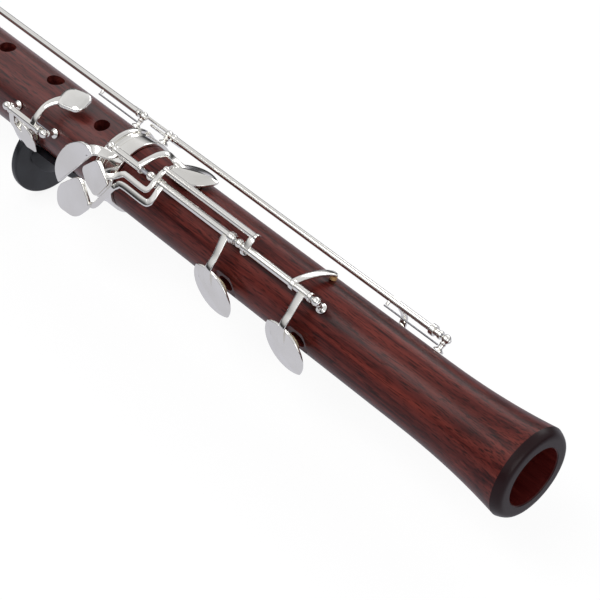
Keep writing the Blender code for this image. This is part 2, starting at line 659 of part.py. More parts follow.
def tenon_profile(end, shoulder):
    """Points of a tenon with its cork groove, from its end to its shoulder."""
    sign = math.copysign(1, shoulder - end)
    groove = end + sign * (TENON_LENGTH - CORK_LENGTH) / 2
    bottom = TENON_RADIUS - CORK_DEPTH
    return [
        (TENON_RADIUS - 0.5 * MM, end), (TENON_RADIUS, end + sign * 0.7 * MM),
        (TENON_RADIUS, groove), (bottom, groove), (bottom, groove + sign * CORK_LENGTH),
        (TENON_RADIUS, groove + sign * CORK_LENGTH), (TENON_RADIUS, shoulder),
    ]


SOCKET_RADIUS = TENON_RADIUS + 0.5 * MM
SOCKET_DEPTH = TENON_LENGTH + 0.3 * MM
LOWER_SHOULDER = FOOT_TOP - 2 * SEAT_GAP
UPPER_SHOULDER = HEAD_END + SEAT_GAP


def make_middle_joint():
    """Middle joint with its bore, tenons, finger holes and keyed tone hole."""
    low_end = LOWER_SHOULDER + TENON_LENGTH
    high_end = UPPER_SHOULDER - TENON_LENGTH
    profile = tenon_profile(low_end, LOWER_SHOULDER)
    profile += [(MIDDLE_RADIUS_LOW, LOWER_SHOULDER), (MIDDLE_RADIUS_HIGH, UPPER_SHOULDER)]
    profile += list(reversed(tenon_profile(high_end, UPPER_SHOULDER)))
    profile += [(MIDDLE_BORE_HIGH, high_end), (MIDDLE_BORE_LOW, low_end)]
    joint = turned("Middle", profile, BODY_STEPS)
    for x, angle, radius in FINGER_HOLES:
        cut(joint, radial_hole(x, angle, radius, MIDDLE_BORE_LOW - 2 * MM))
    cut(joint, *tone_hole(*SHARP_CUP, MIDDLE_BORE_LOW))
    for x, line in ((SHARP_POSTS[0], SHARP_LINE), (SHARP_POSTS[1], SHARP_LINE),
                    (FAR_POSTS_HIGH[0], FAR_LINE), (FAR_POSTS_HIGH[1], FAR_LINE)):
        cut(joint, shank_hole(x, line[0]))
    for x in REST_SCREWS:
        cut(joint, shank_hole(x, 180))
    keep(joint, "middle_joint", ROSEWOOD)
    for name, end, sign in (("lower_tenon_cork", low_end, -1), ("upper_tenon_cork", high_end, 1)):
        near = end + sign * ((TENON_LENGTH - CORK_LENGTH) / 2 + SEAT_GAP)
        far = near + sign * (CORK_LENGTH - 2 * SEAT_GAP)
        top, bottom = max(near, far), min(near, far)
        inner = TENON_RADIUS - CORK_DEPTH + SEAT_GAP
        outer = SOCKET_RADIUS - SEAT_GAP
        ring = turned(name, [(outer, top), (outer, bottom), (inner, bottom), (inner, top)], BODY_STEPS)
        keep(ring, name, CORK)


def make_foot_joint():
    """Foot joint with its flared bell, rounded end, socket and three keyed tone holes."""
    profile = [(BELL_LIP_RADIUS + 0.5 * MM, 0)]
    for i in range(5):
        turn = math.radians(22.5 * i)
        profile.append((BELL_RADIUS - BELL_ROUNDING * (1 - math.sin(turn)),
                        -BELL_ROUNDING * (1 - math.cos(turn))))
    for i in range(1, 9):
        x = -BELL_ROUNDING - FLARE_LENGTH * i / 8
        profile.append((foot_radius(x), x))
    ring_end = FOOT_TOP + RING_LENGTH
    profile += [(foot_radius(ring_end), ring_end), (RING_SEAT_RADIUS, ring_end)]
    socket_end = FOOT_TOP + SOCKET_DEPTH
    profile += [(RING_SEAT_RADIUS, FOOT_TOP), (SOCKET_RADIUS, FOOT_TOP), (SOCKET_RADIUS, socket_end)]
    profile += [(FOOT_BORE_RADIUS, socket_end), (FOOT_BORE_RADIUS, -90 * MM)]
    profile += [(BELL_LIP_RADIUS - 1.4 * MM, -22 * MM), (BELL_LIP_RADIUS, -0.5 * MM)]
    joint = turned("Foot", profile, BODY_STEPS)
    for place in (D_SHARP_CUP, LOW_C_CUP, LOW_B_CUP, LEFT_CUP):
        cut(joint, *tone_hole(*place, FOOT_BORE_RADIUS))
    for x, line in ((POST_2, NEAR_LINE), (POST_3, NEAR_LINE), (POST_4, NEAR_LINE),
                    (FAR_POSTS_LOW[1], FAR_LINE)):
        cut(joint, shank_hole(x, line[0]))
    keep(joint, "foot_joint", ROSEWOOD)


def make_ring(name, wood_end, sign):
    """Stepped silver ring over a socket: band, waist and bead, from the wood outwards."""
    steps = [(0.0, RING_BAND_RADIUS - 0.4 * MM), (0.5, RING_BAND_RADIUS), (7.6, RING_BAND_RADIUS),
             (8.2, RING_WAIST_RADIUS), (10.4, RING_WAIST_RADIUS), (11.0, RING_BEAD_RADIUS - 0.4 * MM),
             (12.3, RING_BEAD_RADIUS), (13.6, RING_BEAD_RADIUS - 0.4 * MM), (14.1, RING_WAIST_RADIUS)]
    outer = [(radius, wood_end + sign * (SEAT_GAP + along * MM)) for along, radius in steps]
    inner = RING_SEAT_RADIUS + SEAT_GAP
    profile = outer + [(inner, outer[-1][1]), (inner, outer[0][1])]
    if sign > 0:
        profile.reverse()
    keep(turned(name, profile, BODY_STEPS), name, SILVER)


def make_head_joint():
    """Head joint with its socket, windway, window, labium and beak, and the block inside."""
    window_end = WINDOW_X + WINDOW_LENGTH
    end = -TOTAL_LENGTH
    ring_end = HEAD_END - RING_LENGTH
    profile = [(RING_SEAT_RADIUS, HEAD_END), (RING_SEAT_RADIUS, ring_end), (MIDDLE_RADIUS_HIGH, ring_end),
               (HEAD_RADIUS, ring_end - 14 * MM), (HEAD_RADIUS, WINDOW_X), (BEAK_RADIUS, end),
               (HEAD_BORE_RADIUS, end), (HEAD_BORE_RADIUS, HEAD_END - SOCKET_DEPTH),
               (SOCKET_RADIUS, HEAD_END - SOCKET_DEPTH), (SOCKET_RADIUS, HEAD_END)]
    head = turned("Head", profile, BODY_STEPS)
    half = WINDWAY_WIDTH / 2
    windway = box("Windway", (end - 1 * MM, -half, 9 * MM),
                  (WINDOW_X + 1 * MM, half, HEAD_BORE_RADIUS + WINDWAY_HEIGHT))
    window = box("Window", (WINDOW_X, -half, 8 * MM), (window_end, half, 30 * MM))
    rise_end = window_end + LABIUM_LENGTH
    ramp_frame = Matrix.Rotation(math.radians(90), 4, "X")
    ramp_outline = [(window_end - 0.5 * MM, LABIUM_EDGE), (rise_end, HEAD_RADIUS + 0.6 * MM),
                    (rise_end, 30 * MM), (window_end - 0.5 * MM, 30 * MM)]
    ramp = plate("Ramp", ramp_outline, WINDWAY_WIDTH, ramp_frame, 0.05 * MM)
    beak_side = Vector((0, 30 * MM, 0))
    beak_centre = Vector((end - 15 * MM, 0, -68 * MM))
    beak = cylinder("Beak_curve", beak_centre - beak_side, beak_centre + beak_side, BEAK_CURVE_RADIUS, 72)
    cut(head, windway, window, ramp, beak)
    keep(head, "head_joint", ROSEWOOD)
    block = cylinder("Block", Vector((end, 0, 0)), Vector((WINDOW_X - SEAT_GAP, 0, 0)),
                     HEAD_BORE_RADIUS - SEAT_GAP, BODY_STEPS)
    cut(block, beak)
    keep(block, "block", CEDAR)


def make_thumb_rest():
    """Black thumb rest: a saddle screwed to the back and a round hook standing off it."""
    x0, x1 = REST_X
    inner = MIDDLE_RADIUS_HIGH + SEAT_GAP
    rest = cylinder("Rest", Vector((x0, 0, 0)), Vector((x1, 0, 0)), REST_RADIUS, BODY_STEPS)
    hook = cylinder("Hook", Vector((x0 - 0.4 * MM, 0, -26 * MM)),
                    Vector((x0 + HOOK_THICKNESS, 0, -26 * MM)), HOOK_RADIUS, 40)
    fillet = cylinder("Fillet", Vector((x0 + 3 * MM, 0, -22 * MM)), Vector((x0 + 12 * MM, 0, -17 * MM)),
                      13 * MM, 24, 4 * MM)
    join(rest, hook, fillet)
    space = cylinder("Wood_space", Vector((x0 - 5 * MM, 0, 0)), Vector((x1 + 5 * MM, 0, 0)), inner, 64)
    front = box("Front", (x0 - 5 * MM, -40 * MM, -12 * MM), (x1 + 5 * MM, 40 * MM, 40 * MM))
    cut(rest, space, front)
    for x in REST_SCREWS:
        cut(rest, cylinder("Screw_hole", Vector((x, 0, -10 * MM)), Vector((x, 0, -60 * MM)),
                           SHANK_RADIUS + SEAT_GAP, 12))
        cut(rest, cylinder("Head_space", Vector((x, 0, -REST_RADIUS + 0.9 * MM)), Vector((x, 0, -60 * MM)),
                           3.0 * MM, 16))
    keep(rest, "thumb_rest", PLASTIC)
    for index, x in enumerate(REST_SCREWS):
        top = REST_RADIUS - 0.9 * MM + SEAT_GAP
        profile = [(0, top + 1.4 * MM), (2.0 * MM, top + 1.3 * MM), (2.5 * MM, top + 0.6 * MM),
                   (2.5 * MM, top), (SHANK_RADIUS, top),
                   (SHANK_RADIUS, wood_radius(x) - SHANK_DEPTH + SEAT_GAP),
                   (0, wood_radius(x) - SHANK_DEPTH + SEAT_GAP)]
        frame = Matrix.Translation((x, 0, 0)) @ Matrix.Rotation(math.radians(180), 4, "X")
        screw = turned("Screw", profile, SMALL_STEPS, frame, closed=False)
        keep(screw, f"thumb_rest_screw_{index + 1}", STEEL)


def make_posts_rods_and_springs():
    """Everything fixed that carries the keys."""
    make_post("post_foot_1", POST_1, NEAR_LINE, RING_BAND_RADIUS, 2.1 * MM)
    make_post("post_foot_2", POST_2, NEAR_LINE)
    make_post("post_foot_3", POST_3, NEAR_LINE)
    make_post("post_foot_4", POST_4, NEAR_LINE)
    make_post("post_sharp_1", SHARP_POSTS[0], SHARP_LINE)
    make_post("post_sharp_2", SHARP_POSTS[1], SHARP_LINE)
    make_post("post_long_1", FAR_POSTS_LOW[0], FAR_LINE, RING_BAND_RADIUS, 2.0 * MM)
    make_post("post_long_2", FAR_POSTS_LOW[1], FAR_LINE)
    make_post("post_lever_1", FAR_POSTS_HIGH[0], FAR_LINE)
    make_post("post_lever_2", FAR_POSTS_HIGH[1], FAR_LINE)
    past = 2.2 * MM
    short = 0.4 * MM
    make_rod("rod_sharp", SHARP_POSTS[0] - past, SHARP_POSTS[1] + past, SHARP_LINE)
    make_rod("rod_d_sharp", POST_1 - past, POST_2 - short, NEAR_LINE)
    make_rod("rod_low_c", POST_2 + short, POST_3 - short, NEAR_LINE)
    make_rod("rod_low_b", POST_3 + short, POST_4 + past, NEAR_LINE)
    make_rod("rod_long", FAR_POSTS_LOW[0] - past, FAR_POSTS_LOW[1] + past, FAR_LINE)
    make_rod("rod_lever", FAR_POSTS_HIGH[0] - past, FAR_POSTS_HIGH[1] + past, FAR_LINE)
    make_spring("spring_sharp", SHARP_POSTS[1], -306.5 * MM, SHARP_LINE)
    make_spring("spring_d_sharp", POST_2, -245.0 * MM, NEAR_LINE)
    make_spring("spring_low_c", POST_3, -198.0 * MM, NEAR_LINE)
    make_spring("spring_low_b", POST_3, -151.5 * MM, NEAR_LINE)
    make_spring("spring_long", FAR_POSTS_LOW[1], -103.5 * MM, FAR_LINE)
    make_spring("spring_lever", FAR_POSTS_HIGH[1], -299.0 * MM, FAR_LINE)


def main():
    """Build the whole recorder."""
    make_head_joint()
    make_middle_joint()
    make_foot_joint()
    make_ring("foot_ring", FOOT_TOP + RING_LENGTH, -1)
    make_ring("head_ring", HEAD_END - RING_LENGTH, 1)
    make_thumb_rest()
    make_posts_rods_and_springs()
    make_sharp_key()
    make_d_sharp_key()
    make_low_c_key()
    make_low_b_key()
    make_left_keys()


main()
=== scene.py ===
"""Tenor recorder in rosewood with silver-plated keys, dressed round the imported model.

All lengths are in metres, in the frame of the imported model: X runs along the bore towards the
bell, whose end is at X = 0, +Z is the side with the finger holes and -Y the near side.
A place is given by its X, its angle in degrees from +Z towards -Y, and its distance from the bore.
"""
import math

import bmesh
import bpy
import numpy as np
from mathutils import Matrix, Vector


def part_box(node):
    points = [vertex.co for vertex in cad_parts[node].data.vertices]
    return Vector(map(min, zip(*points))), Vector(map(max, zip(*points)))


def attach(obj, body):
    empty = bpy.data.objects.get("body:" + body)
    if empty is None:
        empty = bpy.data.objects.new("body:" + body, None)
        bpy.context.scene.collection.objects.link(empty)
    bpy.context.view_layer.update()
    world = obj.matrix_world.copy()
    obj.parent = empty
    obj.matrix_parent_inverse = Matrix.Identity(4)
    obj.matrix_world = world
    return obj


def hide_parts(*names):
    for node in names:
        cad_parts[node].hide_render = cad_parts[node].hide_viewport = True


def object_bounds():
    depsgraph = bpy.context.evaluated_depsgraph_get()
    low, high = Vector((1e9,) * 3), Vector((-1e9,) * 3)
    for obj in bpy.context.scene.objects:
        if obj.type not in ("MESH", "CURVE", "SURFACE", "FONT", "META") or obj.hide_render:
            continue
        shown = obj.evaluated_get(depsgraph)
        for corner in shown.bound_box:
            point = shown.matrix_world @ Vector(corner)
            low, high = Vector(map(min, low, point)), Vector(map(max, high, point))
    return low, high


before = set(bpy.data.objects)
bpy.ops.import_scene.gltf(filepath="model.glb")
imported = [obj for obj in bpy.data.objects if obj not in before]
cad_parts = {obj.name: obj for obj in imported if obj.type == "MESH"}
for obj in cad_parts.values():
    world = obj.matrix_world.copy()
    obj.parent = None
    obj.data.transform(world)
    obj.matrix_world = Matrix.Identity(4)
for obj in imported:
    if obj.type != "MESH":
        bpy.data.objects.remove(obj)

bl_info = {
    "name": "Tenor recorder",
    "version": (1, 0, 0),
    "blender": (4, 5, 0),
    "location": "3D view > Sidebar > Recorder",
    "description": "Dresses a tenor recorder with turned wood, silver keys and studio light",
    "category": "Object",
}

MM = 0.001
CAD_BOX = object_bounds()
FOOT_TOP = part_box("foot_joint")[0][0]
HEAD_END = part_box("head_joint")[1][0]
HEAD_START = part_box("head_joint")[0][0]
BELL_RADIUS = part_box("foot_joint")[1][1]
MIDDLE_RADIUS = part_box("middle_joint")[1][1]
HEAD_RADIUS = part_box("head_joint")[1][1]
FLOOR_LEVEL = CAD_BOX[0][2] - 1.0 * MM

# Turned wood
FOOT_RADIUS_TOP = 17.05 * MM
FOOT_RADIUS_LOW = 17.65 * MM
MIDDLE_RADIUS_LOW = 17.3 * MM
FLARE_LENGTH = 62 * MM
FLARE_POWER = 2.3
BELL_ROUNDING = 4.3 * MM
BELL_LIP_RADIUS = 14.2 * MM
FOOT_BORE_RADIUS = 10.6 * MM
MIDDLE_BORE_LOW = 10.0 * MM
MIDDLE_BORE_HIGH = 11.5 * MM
HEAD_BORE_RADIUS = 12.9 * MM
BEAK_RADIUS = 15.5 * MM
TENON_LENGTH = 24.7 * MM
TENON_RADIUS = 13.9 * MM
SOCKET_RADIUS = 14.4 * MM
SOCKET_DEPTH = 25.0 * MM
SEAT_GAP = 0.3 * MM
RING_LENGTH = 14.2 * MM
RING_SEAT_RADIUS = 16.2 * MM
WINDOW_X = -690 * MM
WINDOW_LENGTH = 5.5 * MM
WINDWAY_WIDTH = 13 * MM
WINDWAY_HEIGHT = 1.1 * MM
LABIUM_LENGTH = 33 * MM
LABIUM_EDGE = 13.3 * MM
BEAK_CURVE_RADIUS = 73.5 * MM

# Hinge lines of the keys: angle and distance from the bore's axis
NEAR_LINE = (34.0, 25.0 * MM)
FAR_LINE = (-47.0, 24.0 * MM)
SHARP_LINE = (68.5, 25.0 * MM)
TUBE_RADIUS = 1.85 * MM
FAR_TUBE_RADIUS = 1.6 * MM
BRIDGE_RADIUS = 1.6 * MM
HINGE_BORE = 1.2 * MM
BALL_RADIUS = 2.15 * MM
POST_SPACE = 2.7 * MM
STEM_RADIUS = 1.3 * MM
SPRING_LEVEL = 20.0 * MM

# Cups: X, angle, and the leaf's length, width and turn
FLAT_DEPTH = 1.2 * MM
PAD_THICKNESS = 2.4 * MM
PAD_RADIUS = 5.6 * MM
CUP_WALL = 0.8 * MM
LEAF_THICKNESS = 1.4 * MM
OPEN_ANGLE = 8.5
KEY_HOLE_RADIUS = 4.2 * MM
SHARP_CUP = (-312.0 * MM, 100.0)
D_SHARP_CUP = (-216.3 * MM, -5.0)
LOW_C_CUP = (-171.0 * MM, 106.0)
LOW_B_CUP = (-123.8 * MM, 106.0)
LEFT_CUP = (-101.0 * MM, -118.0)
LARGE_LEAF = (28.0 * MM, 21.0 * MM, 44.0)
LEFT_LEAF = (24.0 * MM, 16.0 * MM, -12.0)
SMALL_LEAF = (25.5 * MM, 15.5 * MM, -32.0)
SHARP_LEAF = (20.0 * MM, 14.0 * MM, 36.0)
TOUCH_ANGLE = 75.0
TOUCH_LEVEL = 28.0 * MM
TOUCH_THICKNESS = 2.0 * MM

POST_1 = -255.0 * MM
POST_2 = -226.5 * MM
POST_3 = -166.2 * MM
POST_4 = -117.3 * MM
SHARP_POSTS = (-321.6 * MM, -293.4 * MM)
FAR_POSTS_LOW = (-250.4 * MM, -69.4 * MM)
FAR_POSTS_HIGH = (-443.0 * MM, -269.0 * MM)

REST_X = (-320 * MM, -284 * MM)
REST_RADIUS = 20.8 * MM
HOOK_RADIUS = 22 * MM
HOOK_THICKNESS = 3.6 * MM
HOOK_CENTRE = -26 * MM
REST_SCREWS = (-308 * MM, -293 * MM)

FINGER_HOLES = (
    (-316.0 * MM, -5.4, 4.4 * MM),
    (-274.5 * MM, 11.6, 3.9 * MM),
    (-352.0 * MM, 0.0, 4.2 * MM),
    (-396.0 * MM, 0.0, 4.0 * MM),
    (-434.0 * MM, 0.0, 4.2 * MM),
    (-470.0 * MM, 0.0, 3.9 * MM),
    (-486.0 * MM, 180.0, 3.4 * MM),
)

# The photograph's camera
CAMERA_PLACE = (0.31547, -0.50126, 0.56672)
CAMERA_RIGHT = (0.68154, 0.72561, 0.09483)
CAMERA_DOWN = (0.51992, -0.38894, -0.76053)
CAMERA_AHEAD = (-0.51497, 0.56763, -0.64234)
CAMERA_LENS = 120.0

ALONG_X = Matrix.Rotation(math.radians(90), 4, "Y")
SMOOTH_ANGLE = math.radians(38)


def hex_colour(text):
    """Linear colour of an sRGB hex value."""
    values = [int(text[i:i + 2], 16) / 255 for i in (1, 3, 5)]
    return tuple(v / 12.92 if v <= 0.04045 else ((v + 0.055) / 1.055) ** 2.4 for v in values) + (1.0,)


def at(x, angle, radius):
    """Point at X, at an angle from +Z towards -Y, at a distance from the bore's axis."""
    turn = math.radians(angle)
    return Vector((x, -radius * math.sin(turn), radius * math.cos(turn)))


def on_plane(x, angle, level, across):
    """Point on the plane that faces an angle: level is its height, across grows with the angle."""
    turn = math.radians(angle)
    facing = Vector((0, -math.sin(turn), math.cos(turn)))
    side = Vector((0, -math.cos(turn), -math.sin(turn)))
    return Vector((x, 0, 0)) + facing * level + side * across


def facing_frame(x, angle, level, across=0.0):
    """Frame whose Z axis points away from the bore at an angle, X along the bore, Y as the angle grows."""
    turn = Matrix.Rotation(math.radians(angle), 4, "X")
    return Matrix.Translation(on_plane(x, angle, level, across)) @ turn @ Matrix.Scale(-1, 4, (0, 1, 0))


def swung(line, degrees):
    """Turn about a hinge line, which runs along X."""
    centre = at(0, *line)
    return Matrix.Translation(centre) @ Matrix.Rotation(math.radians(degrees), 4, "X") @ Matrix.Translation(-centre)


def foot_radius(x):
    """Outer radius of the foot: a slight taper, and a flare that grows as a power towards the bell."""
    x = np.asarray(x, dtype=float)
    taper = FOOT_RADIUS_TOP + (FOOT_RADIUS_LOW - FOOT_RADIUS_TOP) * (x - FOOT_TOP) / -FOOT_TOP
    into_flare = np.clip(x + FLARE_LENGTH + BELL_ROUNDING, 0, None) / FLARE_LENGTH
    return taper + (BELL_RADIUS - FOOT_RADIUS_LOW) * into_flare ** FLARE_POWER


def wood_radius(x):
    """Outer radius of the wood at X."""
    if x > FOOT_TOP:
        return float(foot_radius(x))
    share = (x - FOOT_TOP) / (HEAD_END - FOOT_TOP)
    return MIDDLE_RADIUS_LOW + (MIDDLE_RADIUS - MIDDLE_RADIUS_LOW) * share


def moved(points, matrix):
    """An array of points carried by a 4x4 matrix."""
    m = np.array(matrix)
    return points @ m[:3, :3].T + m[:3, 3]


def skin(rings, loop=False):
    """Closed surface over rings of points, an array (rings, around, 3): quads join each ring to the
    next, and either the last ring joins the first or each end ring is closed by one face."""
    rows, around, _ = rings.shape
    index = np.arange(rows * around).reshape(rows, around)
    if loop:
        here, ahead = index, np.roll(index, -1, axis=0)
    else:
        here, ahead = index[:-1], index[1:]
    quads = np.stack([here, np.roll(here, -1, 1), np.roll(ahead, -1, 1), ahead], -1).reshape(-1, 4)
    faces = quads.tolist()
    if not loop:
        faces += [index[0, ::-1].tolist(), index[-1].tolist()]
    return rings.reshape(-1, 3), faces


def spun(profile, steps, matrix=ALONG_X, loop=False):
    """Surface of revolution: each profile point (radius, distance) becomes a circle of that radius at
    that distance along the local Z axis, at evenly spaced angles, carried by a matrix."""
    profile = np.array(profile, dtype=float)
    angles = np.linspace(0, 2 * np.pi, steps, endpoint=False)
    radius, along = profile[:, :1], profile[:, 1:]
    rings = np.stack([radius * np.cos(angles), radius * np.sin(angles), along + 0 * angles], -1)
    return skin(moved(rings, matrix), loop)


def softened(profile, reach, closed=False):
    """A profile with each corner replaced by a quadratic curve that starts and ends at most reach away."""
    points = [np.array(p, dtype=float) for p in profile]
    count = len(points)
    share = np.linspace(0, 1, 5)[:, None]
    result = []
    for i, corner in enumerate(points):
        if not closed and i in (0, count - 1):
            result.append(corner[None])
            continue
        before, after = points[i - 1], points[(i + 1) % count]
        start = corner + (before - corner) * min(1, reach / max(np.linalg.norm(before - corner), 1e-9) / 1) * 0.49
        end = corner + (after - corner) * min(1, reach / max(np.linalg.norm(after - corner), 1e-9) / 1) * 0.49
        result.append((1 - share) ** 2 * start + 2 * share * (1 - share) * corner + share ** 2 * end)
    return np.concatenate(result)


def rod_between(start, end, radius, steps=24, edge=0.25 * MM, radius_end=None):
    """Round bar from start to end whose end edges are softened: a spun profile along the line."""
    axis = Vector(end) - Vector(start)
    last = radius if radius_end is None else radius_end
    profile = softened([(0.02 * MM, 0), (radius, 0), (last, axis.length), (0.02 * MM, axis.length)], edge * 2)
    turn = axis.to_track_quat("Z", "Y").to_matrix().to_4x4()
    return spun(profile, steps, Matrix.Translation(start) @ turn)


def tube_along(x_start, x_end, line, radius=TUBE_RADIUS):
    """Hinge tube with a thin bead near each end: a spun profile round the hinge line."""
    bead = 0.35 * MM
    length = x_end - x_start
    profile = [(HINGE_BORE, 0), (radius + bead, 0), (radius + bead, 1.3 * MM), (radius, 1.7 * MM),
               (radius, length - 1.7 * MM), (radius + bead, length - 1.3 * MM), (radius + bead, length),
               (HINGE_BORE, length)]
    return spun(softened(profile, 0.4 * MM), 32, Matrix.Translation(at(x_start, *line)) @ ALONG_X)


def arm(points, widths, thickness, samples=8):
    """Flat arm with rounded edges: a rounded-rectangle section (a superellipse) carried along a
    Catmull-Rom curve through points, its width blended between them, its flat side facing outwards."""
    path = np.array([tuple(p) for p in points])
    padded = np.vstack([2 * path[0] - path[1], path, 2 * path[-1] - path[-2]])
    share = np.linspace(0, 1, samples, endpoint=False)[None, :, None]
    a, b, c, d = (padded[i:len(padded) - 3 + i, None, :] for i in range(4))
    curve = 0.5 * (2 * b + (c - a) * share + (2 * a - 5 * b + 4 * c - d) * share ** 2
                   + (3 * b - a - 3 * c + d) * share ** 3)
    curve = np.vstack([curve.reshape(-1, 3), path[-1:]])
    width = np.interp(np.linspace(0, len(path) - 1, len(curve)), np.arange(len(path)), widths)
    ahead = np.gradient(curve, axis=0)
    ahead /= np.linalg.norm(ahead, axis=1, keepdims=True)
    outward = curve * (0, 1, 1)
    across = np.cross(ahead, outward)
    across /= np.linalg.norm(across, axis=1, keepdims=True)
    out = np.cross(across, ahead)
    turn = np.linspace(0, 2 * np.pi, 20, endpoint=False)
    wide = np.sign(np.cos(turn)) * np.abs(np.cos(turn)) ** 0.45
    high = np.sign(np.sin(turn)) * np.abs(np.sin(turn)) ** 0.6
    rings = (curve[:, None] + across[:, None] * (wide[None, :, None] * width[:, None, None] / 2)
             + out[:, None] * (high[None, :, None] * thickness / 2))
    return skin(rings)


def pillow(outline, thickness, matrix, edge=0.5 * MM, crown=0.25 * MM, ridge=None):
    """Plate with rounded edges and a slightly crowned top: copies of the outline, drawn in towards
    its middle by a quarter circle at each edge, then to the middle at a height that grows as a parabola.
    With a ridge (an angle in degrees) the top is a roof: across that line the outline shrinks to a
    hundredth, along it to 0.6, and the height grows straight with the share that is gone."""
    outline = np.array(outline, dtype=float)
    middle = outline.mean(axis=0)
    arms = outline - middle
    reach = np.linalg.norm(arms, axis=1, keepdims=True)
    quarter = np.linspace(0, np.pi / 2, 5)
    half = thickness / 2
    rows = []
    for share in (0.15, 0.45, 0.75):
        rows.append((arms * share, -half))
    for turn in quarter:
        rows.append((arms * (1 - edge * (1 - math.sin(turn)) / reach), -half + edge * (1 - math.cos(turn))))
    for turn in quarter[::-1]:
        rows.append((arms * (1 - edge * (1 - math.sin(turn)) / reach), half - edge * (1 - math.cos(turn))))
    for share in (0.85, 0.65, 0.45, 0.25, 0.08):
        rows.append((arms * share, half + crown * (1 - share ** 2)))
    if ridge is not None:
        flat = turned_points(rows[-6][0], -ridge)
        del rows[-5:]
        for share in (0.75, 0.5, 0.25, 0.01):
            shrunk = turned_points(flat * (0.6 + 0.4 * share, share), ridge)
            rows.append((shrunk, half + crown * (1 - share)))
    rings = np.stack([np.column_stack([flat + middle, np.full(len(flat), height)]) for flat, height in rows])
    return skin(moved(rings, matrix))


def turned_points(points, degrees):
    """Points of an outline turned about their origin."""
    turn = math.radians(degrees)
    x, y = np.asarray(points).T
    return np.column_stack([x * math.cos(turn) - y * math.sin(turn), x * math.sin(turn) + y * math.cos(turn)])


def leaf_outline(length, width, turn):
    """Two circular arcs that meet in a point at each end."""
    half, rise = length / 2, width / 2
    radius = (half * half + rise * rise) / (2 * rise)
    spread = math.asin(half / radius)
    angle = np.linspace(-spread, spread, 28, endpoint=False)
    upper = np.column_stack([-radius * np.sin(angle), radius * np.cos(angle) - radius + rise])
    return turned_points(np.vstack([upper, -upper]), turn)


def rounded_outline(length, width, corner, turn):
    """A rectangle whose corners are quarter circles."""
    start = np.repeat([0, 90, 180, 270], 8)
    angle = np.radians(start + np.tile(np.linspace(0, 90, 8), 4))
    sign_x = np.repeat([1, -1, -1, 1], 8)
    sign_y = np.repeat([1, 1, -1, -1], 8)
    x = sign_x * (length / 2 - corner) + corner * np.cos(angle)
    y = sign_y * (width / 2 - corner) + corner * np.sin(angle)
    return turned_points(np.column_stack([x, y]), turn)


def bowed_polygon(corners, centre, reach):
    """A polygon whose corners are parabolas that start and end the given reach from each corner."""
    corners = (np.array(corners) - centre) * MM
    share = np.linspace(0, 1, 9)[:, None]
    points = []
    for before, corner, after in zip(np.roll(corners, 1, axis=0), corners, np.roll(corners, -1, axis=0)):
        first = corner + (before - corner) * reach / np.linalg.norm(before - corner)
        last = corner + (after - corner) * reach / np.linalg.norm(after - corner)
        points.append((1 - share) ** 2 * first + 2 * share * (1 - share) * corner + share ** 2 * last)
    return np.vstack(points)


def half_oval_outline(length, depth, turn):
    """A half oval: straight on one side, round on the other."""
    angle = np.linspace(0, np.pi, 40)
    round_side = np.column_stack([length / 2 * np.cos(angle), depth * np.sin(angle) ** 0.8])
    straight = np.column_stack([np.linspace(-length / 2, length / 2, 18)[1:-1], np.zeros(16)])
    return turned_points(np.vstack([round_side, straight]), turn)


def make_object(name, surfaces):
    """One object from closed surfaces, with outward normals and smooth shading."""
    verts, faces, base = [], [], 0
    for points, polygons in surfaces:
        verts.append(points)
        faces += [[base + i for i in polygon] for polygon in polygons]
        base += len(points)
    mesh = bpy.data.meshes.new(name)
    mesh.from_pydata(np.concatenate(verts).tolist(), [], faces)
    builder = bmesh.new()
    builder.from_mesh(mesh)
    bmesh.ops.recalc_face_normals(builder, faces=builder.faces)
    builder.to_mesh(mesh)
    builder.free()
    item = bpy.data.objects.new(name, mesh)
    bpy.context.scene.collection.objects.link(item)
    return item


def carve(item, cuts, additions=()):
    """Join additions to an object and cut solids from it, then keep the result as its mesh."""
    tools = [(tool, "UNION") for tool in additions] + [(tool, "DIFFERENCE") for tool in cuts]
    helpers = []
    for surfaces, operation in tools:
        tool = make_object("helper", surfaces)
        helpers.append(tool)
        modifier = item.modifiers.new(operation, "BOOLEAN")
        modifier.operation = operation
        modifier.solver = "EXACT"
        modifier.object = tool
    graph = bpy.context.evaluated_depsgraph_get()
    shaped = bpy.data.meshes.new_from_object(item.evaluated_get(graph))
    item.modifiers.clear()
    item.data = shaped
    for tool in helpers:
        bpy.data.objects.remove(tool, do_unlink=True)


def dress(item, material, body, slot, *nodes, angle=SMOOTH_ANGLE):
    """Finish a piece: material, smooth shading, its body and the nodes that it stands for; the slot is not used."""
    item.data.materials.clear()
    item.data.materials.append(material)
    item.data.shade_smooth()
    item.data.set_sharp_from_angle(angle=angle)
    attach(item, body)
    if nodes:
        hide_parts(*nodes)


def add_node(material, kind, place=(0, 0), **settings):
    """A node of a kind in a material, with its settings."""
    node = material.node_tree.nodes.new(kind)
    node.location = place
    for key, value in settings.items():
        setattr(node, key, value)
    return node


def new_material(name):
    """A material with a Principled shader, and its tree's links."""
    material = bpy.data.materials.new(name)
    material.use_nodes = True
    return material, material.node_tree.nodes["Principled BSDF"], material.node_tree.links


def stretched_noise(material, scale, detail, stretch=(1, 1, 1)):
    """Noise in the object's own metres, stretched along the bore."""
    links = material.node_tree.links
    place = add_node(material, "ShaderNodeTexCoord")
    mapping = add_node(material, "ShaderNodeMapping")
    mapping.inputs["Scale"].default_value = stretch
    noise = add_node(material, "ShaderNodeTexNoise")
    noise.inputs["Scale"].default_value = scale
    noise.inputs["Detail"].default_value = detail
    links.new(place.outputs["Object"], mapping.inputs["Vector"])
    links.new(mapping.outputs["Vector"], noise.inputs["Vector"])
    return noise.outputs["Fac"]


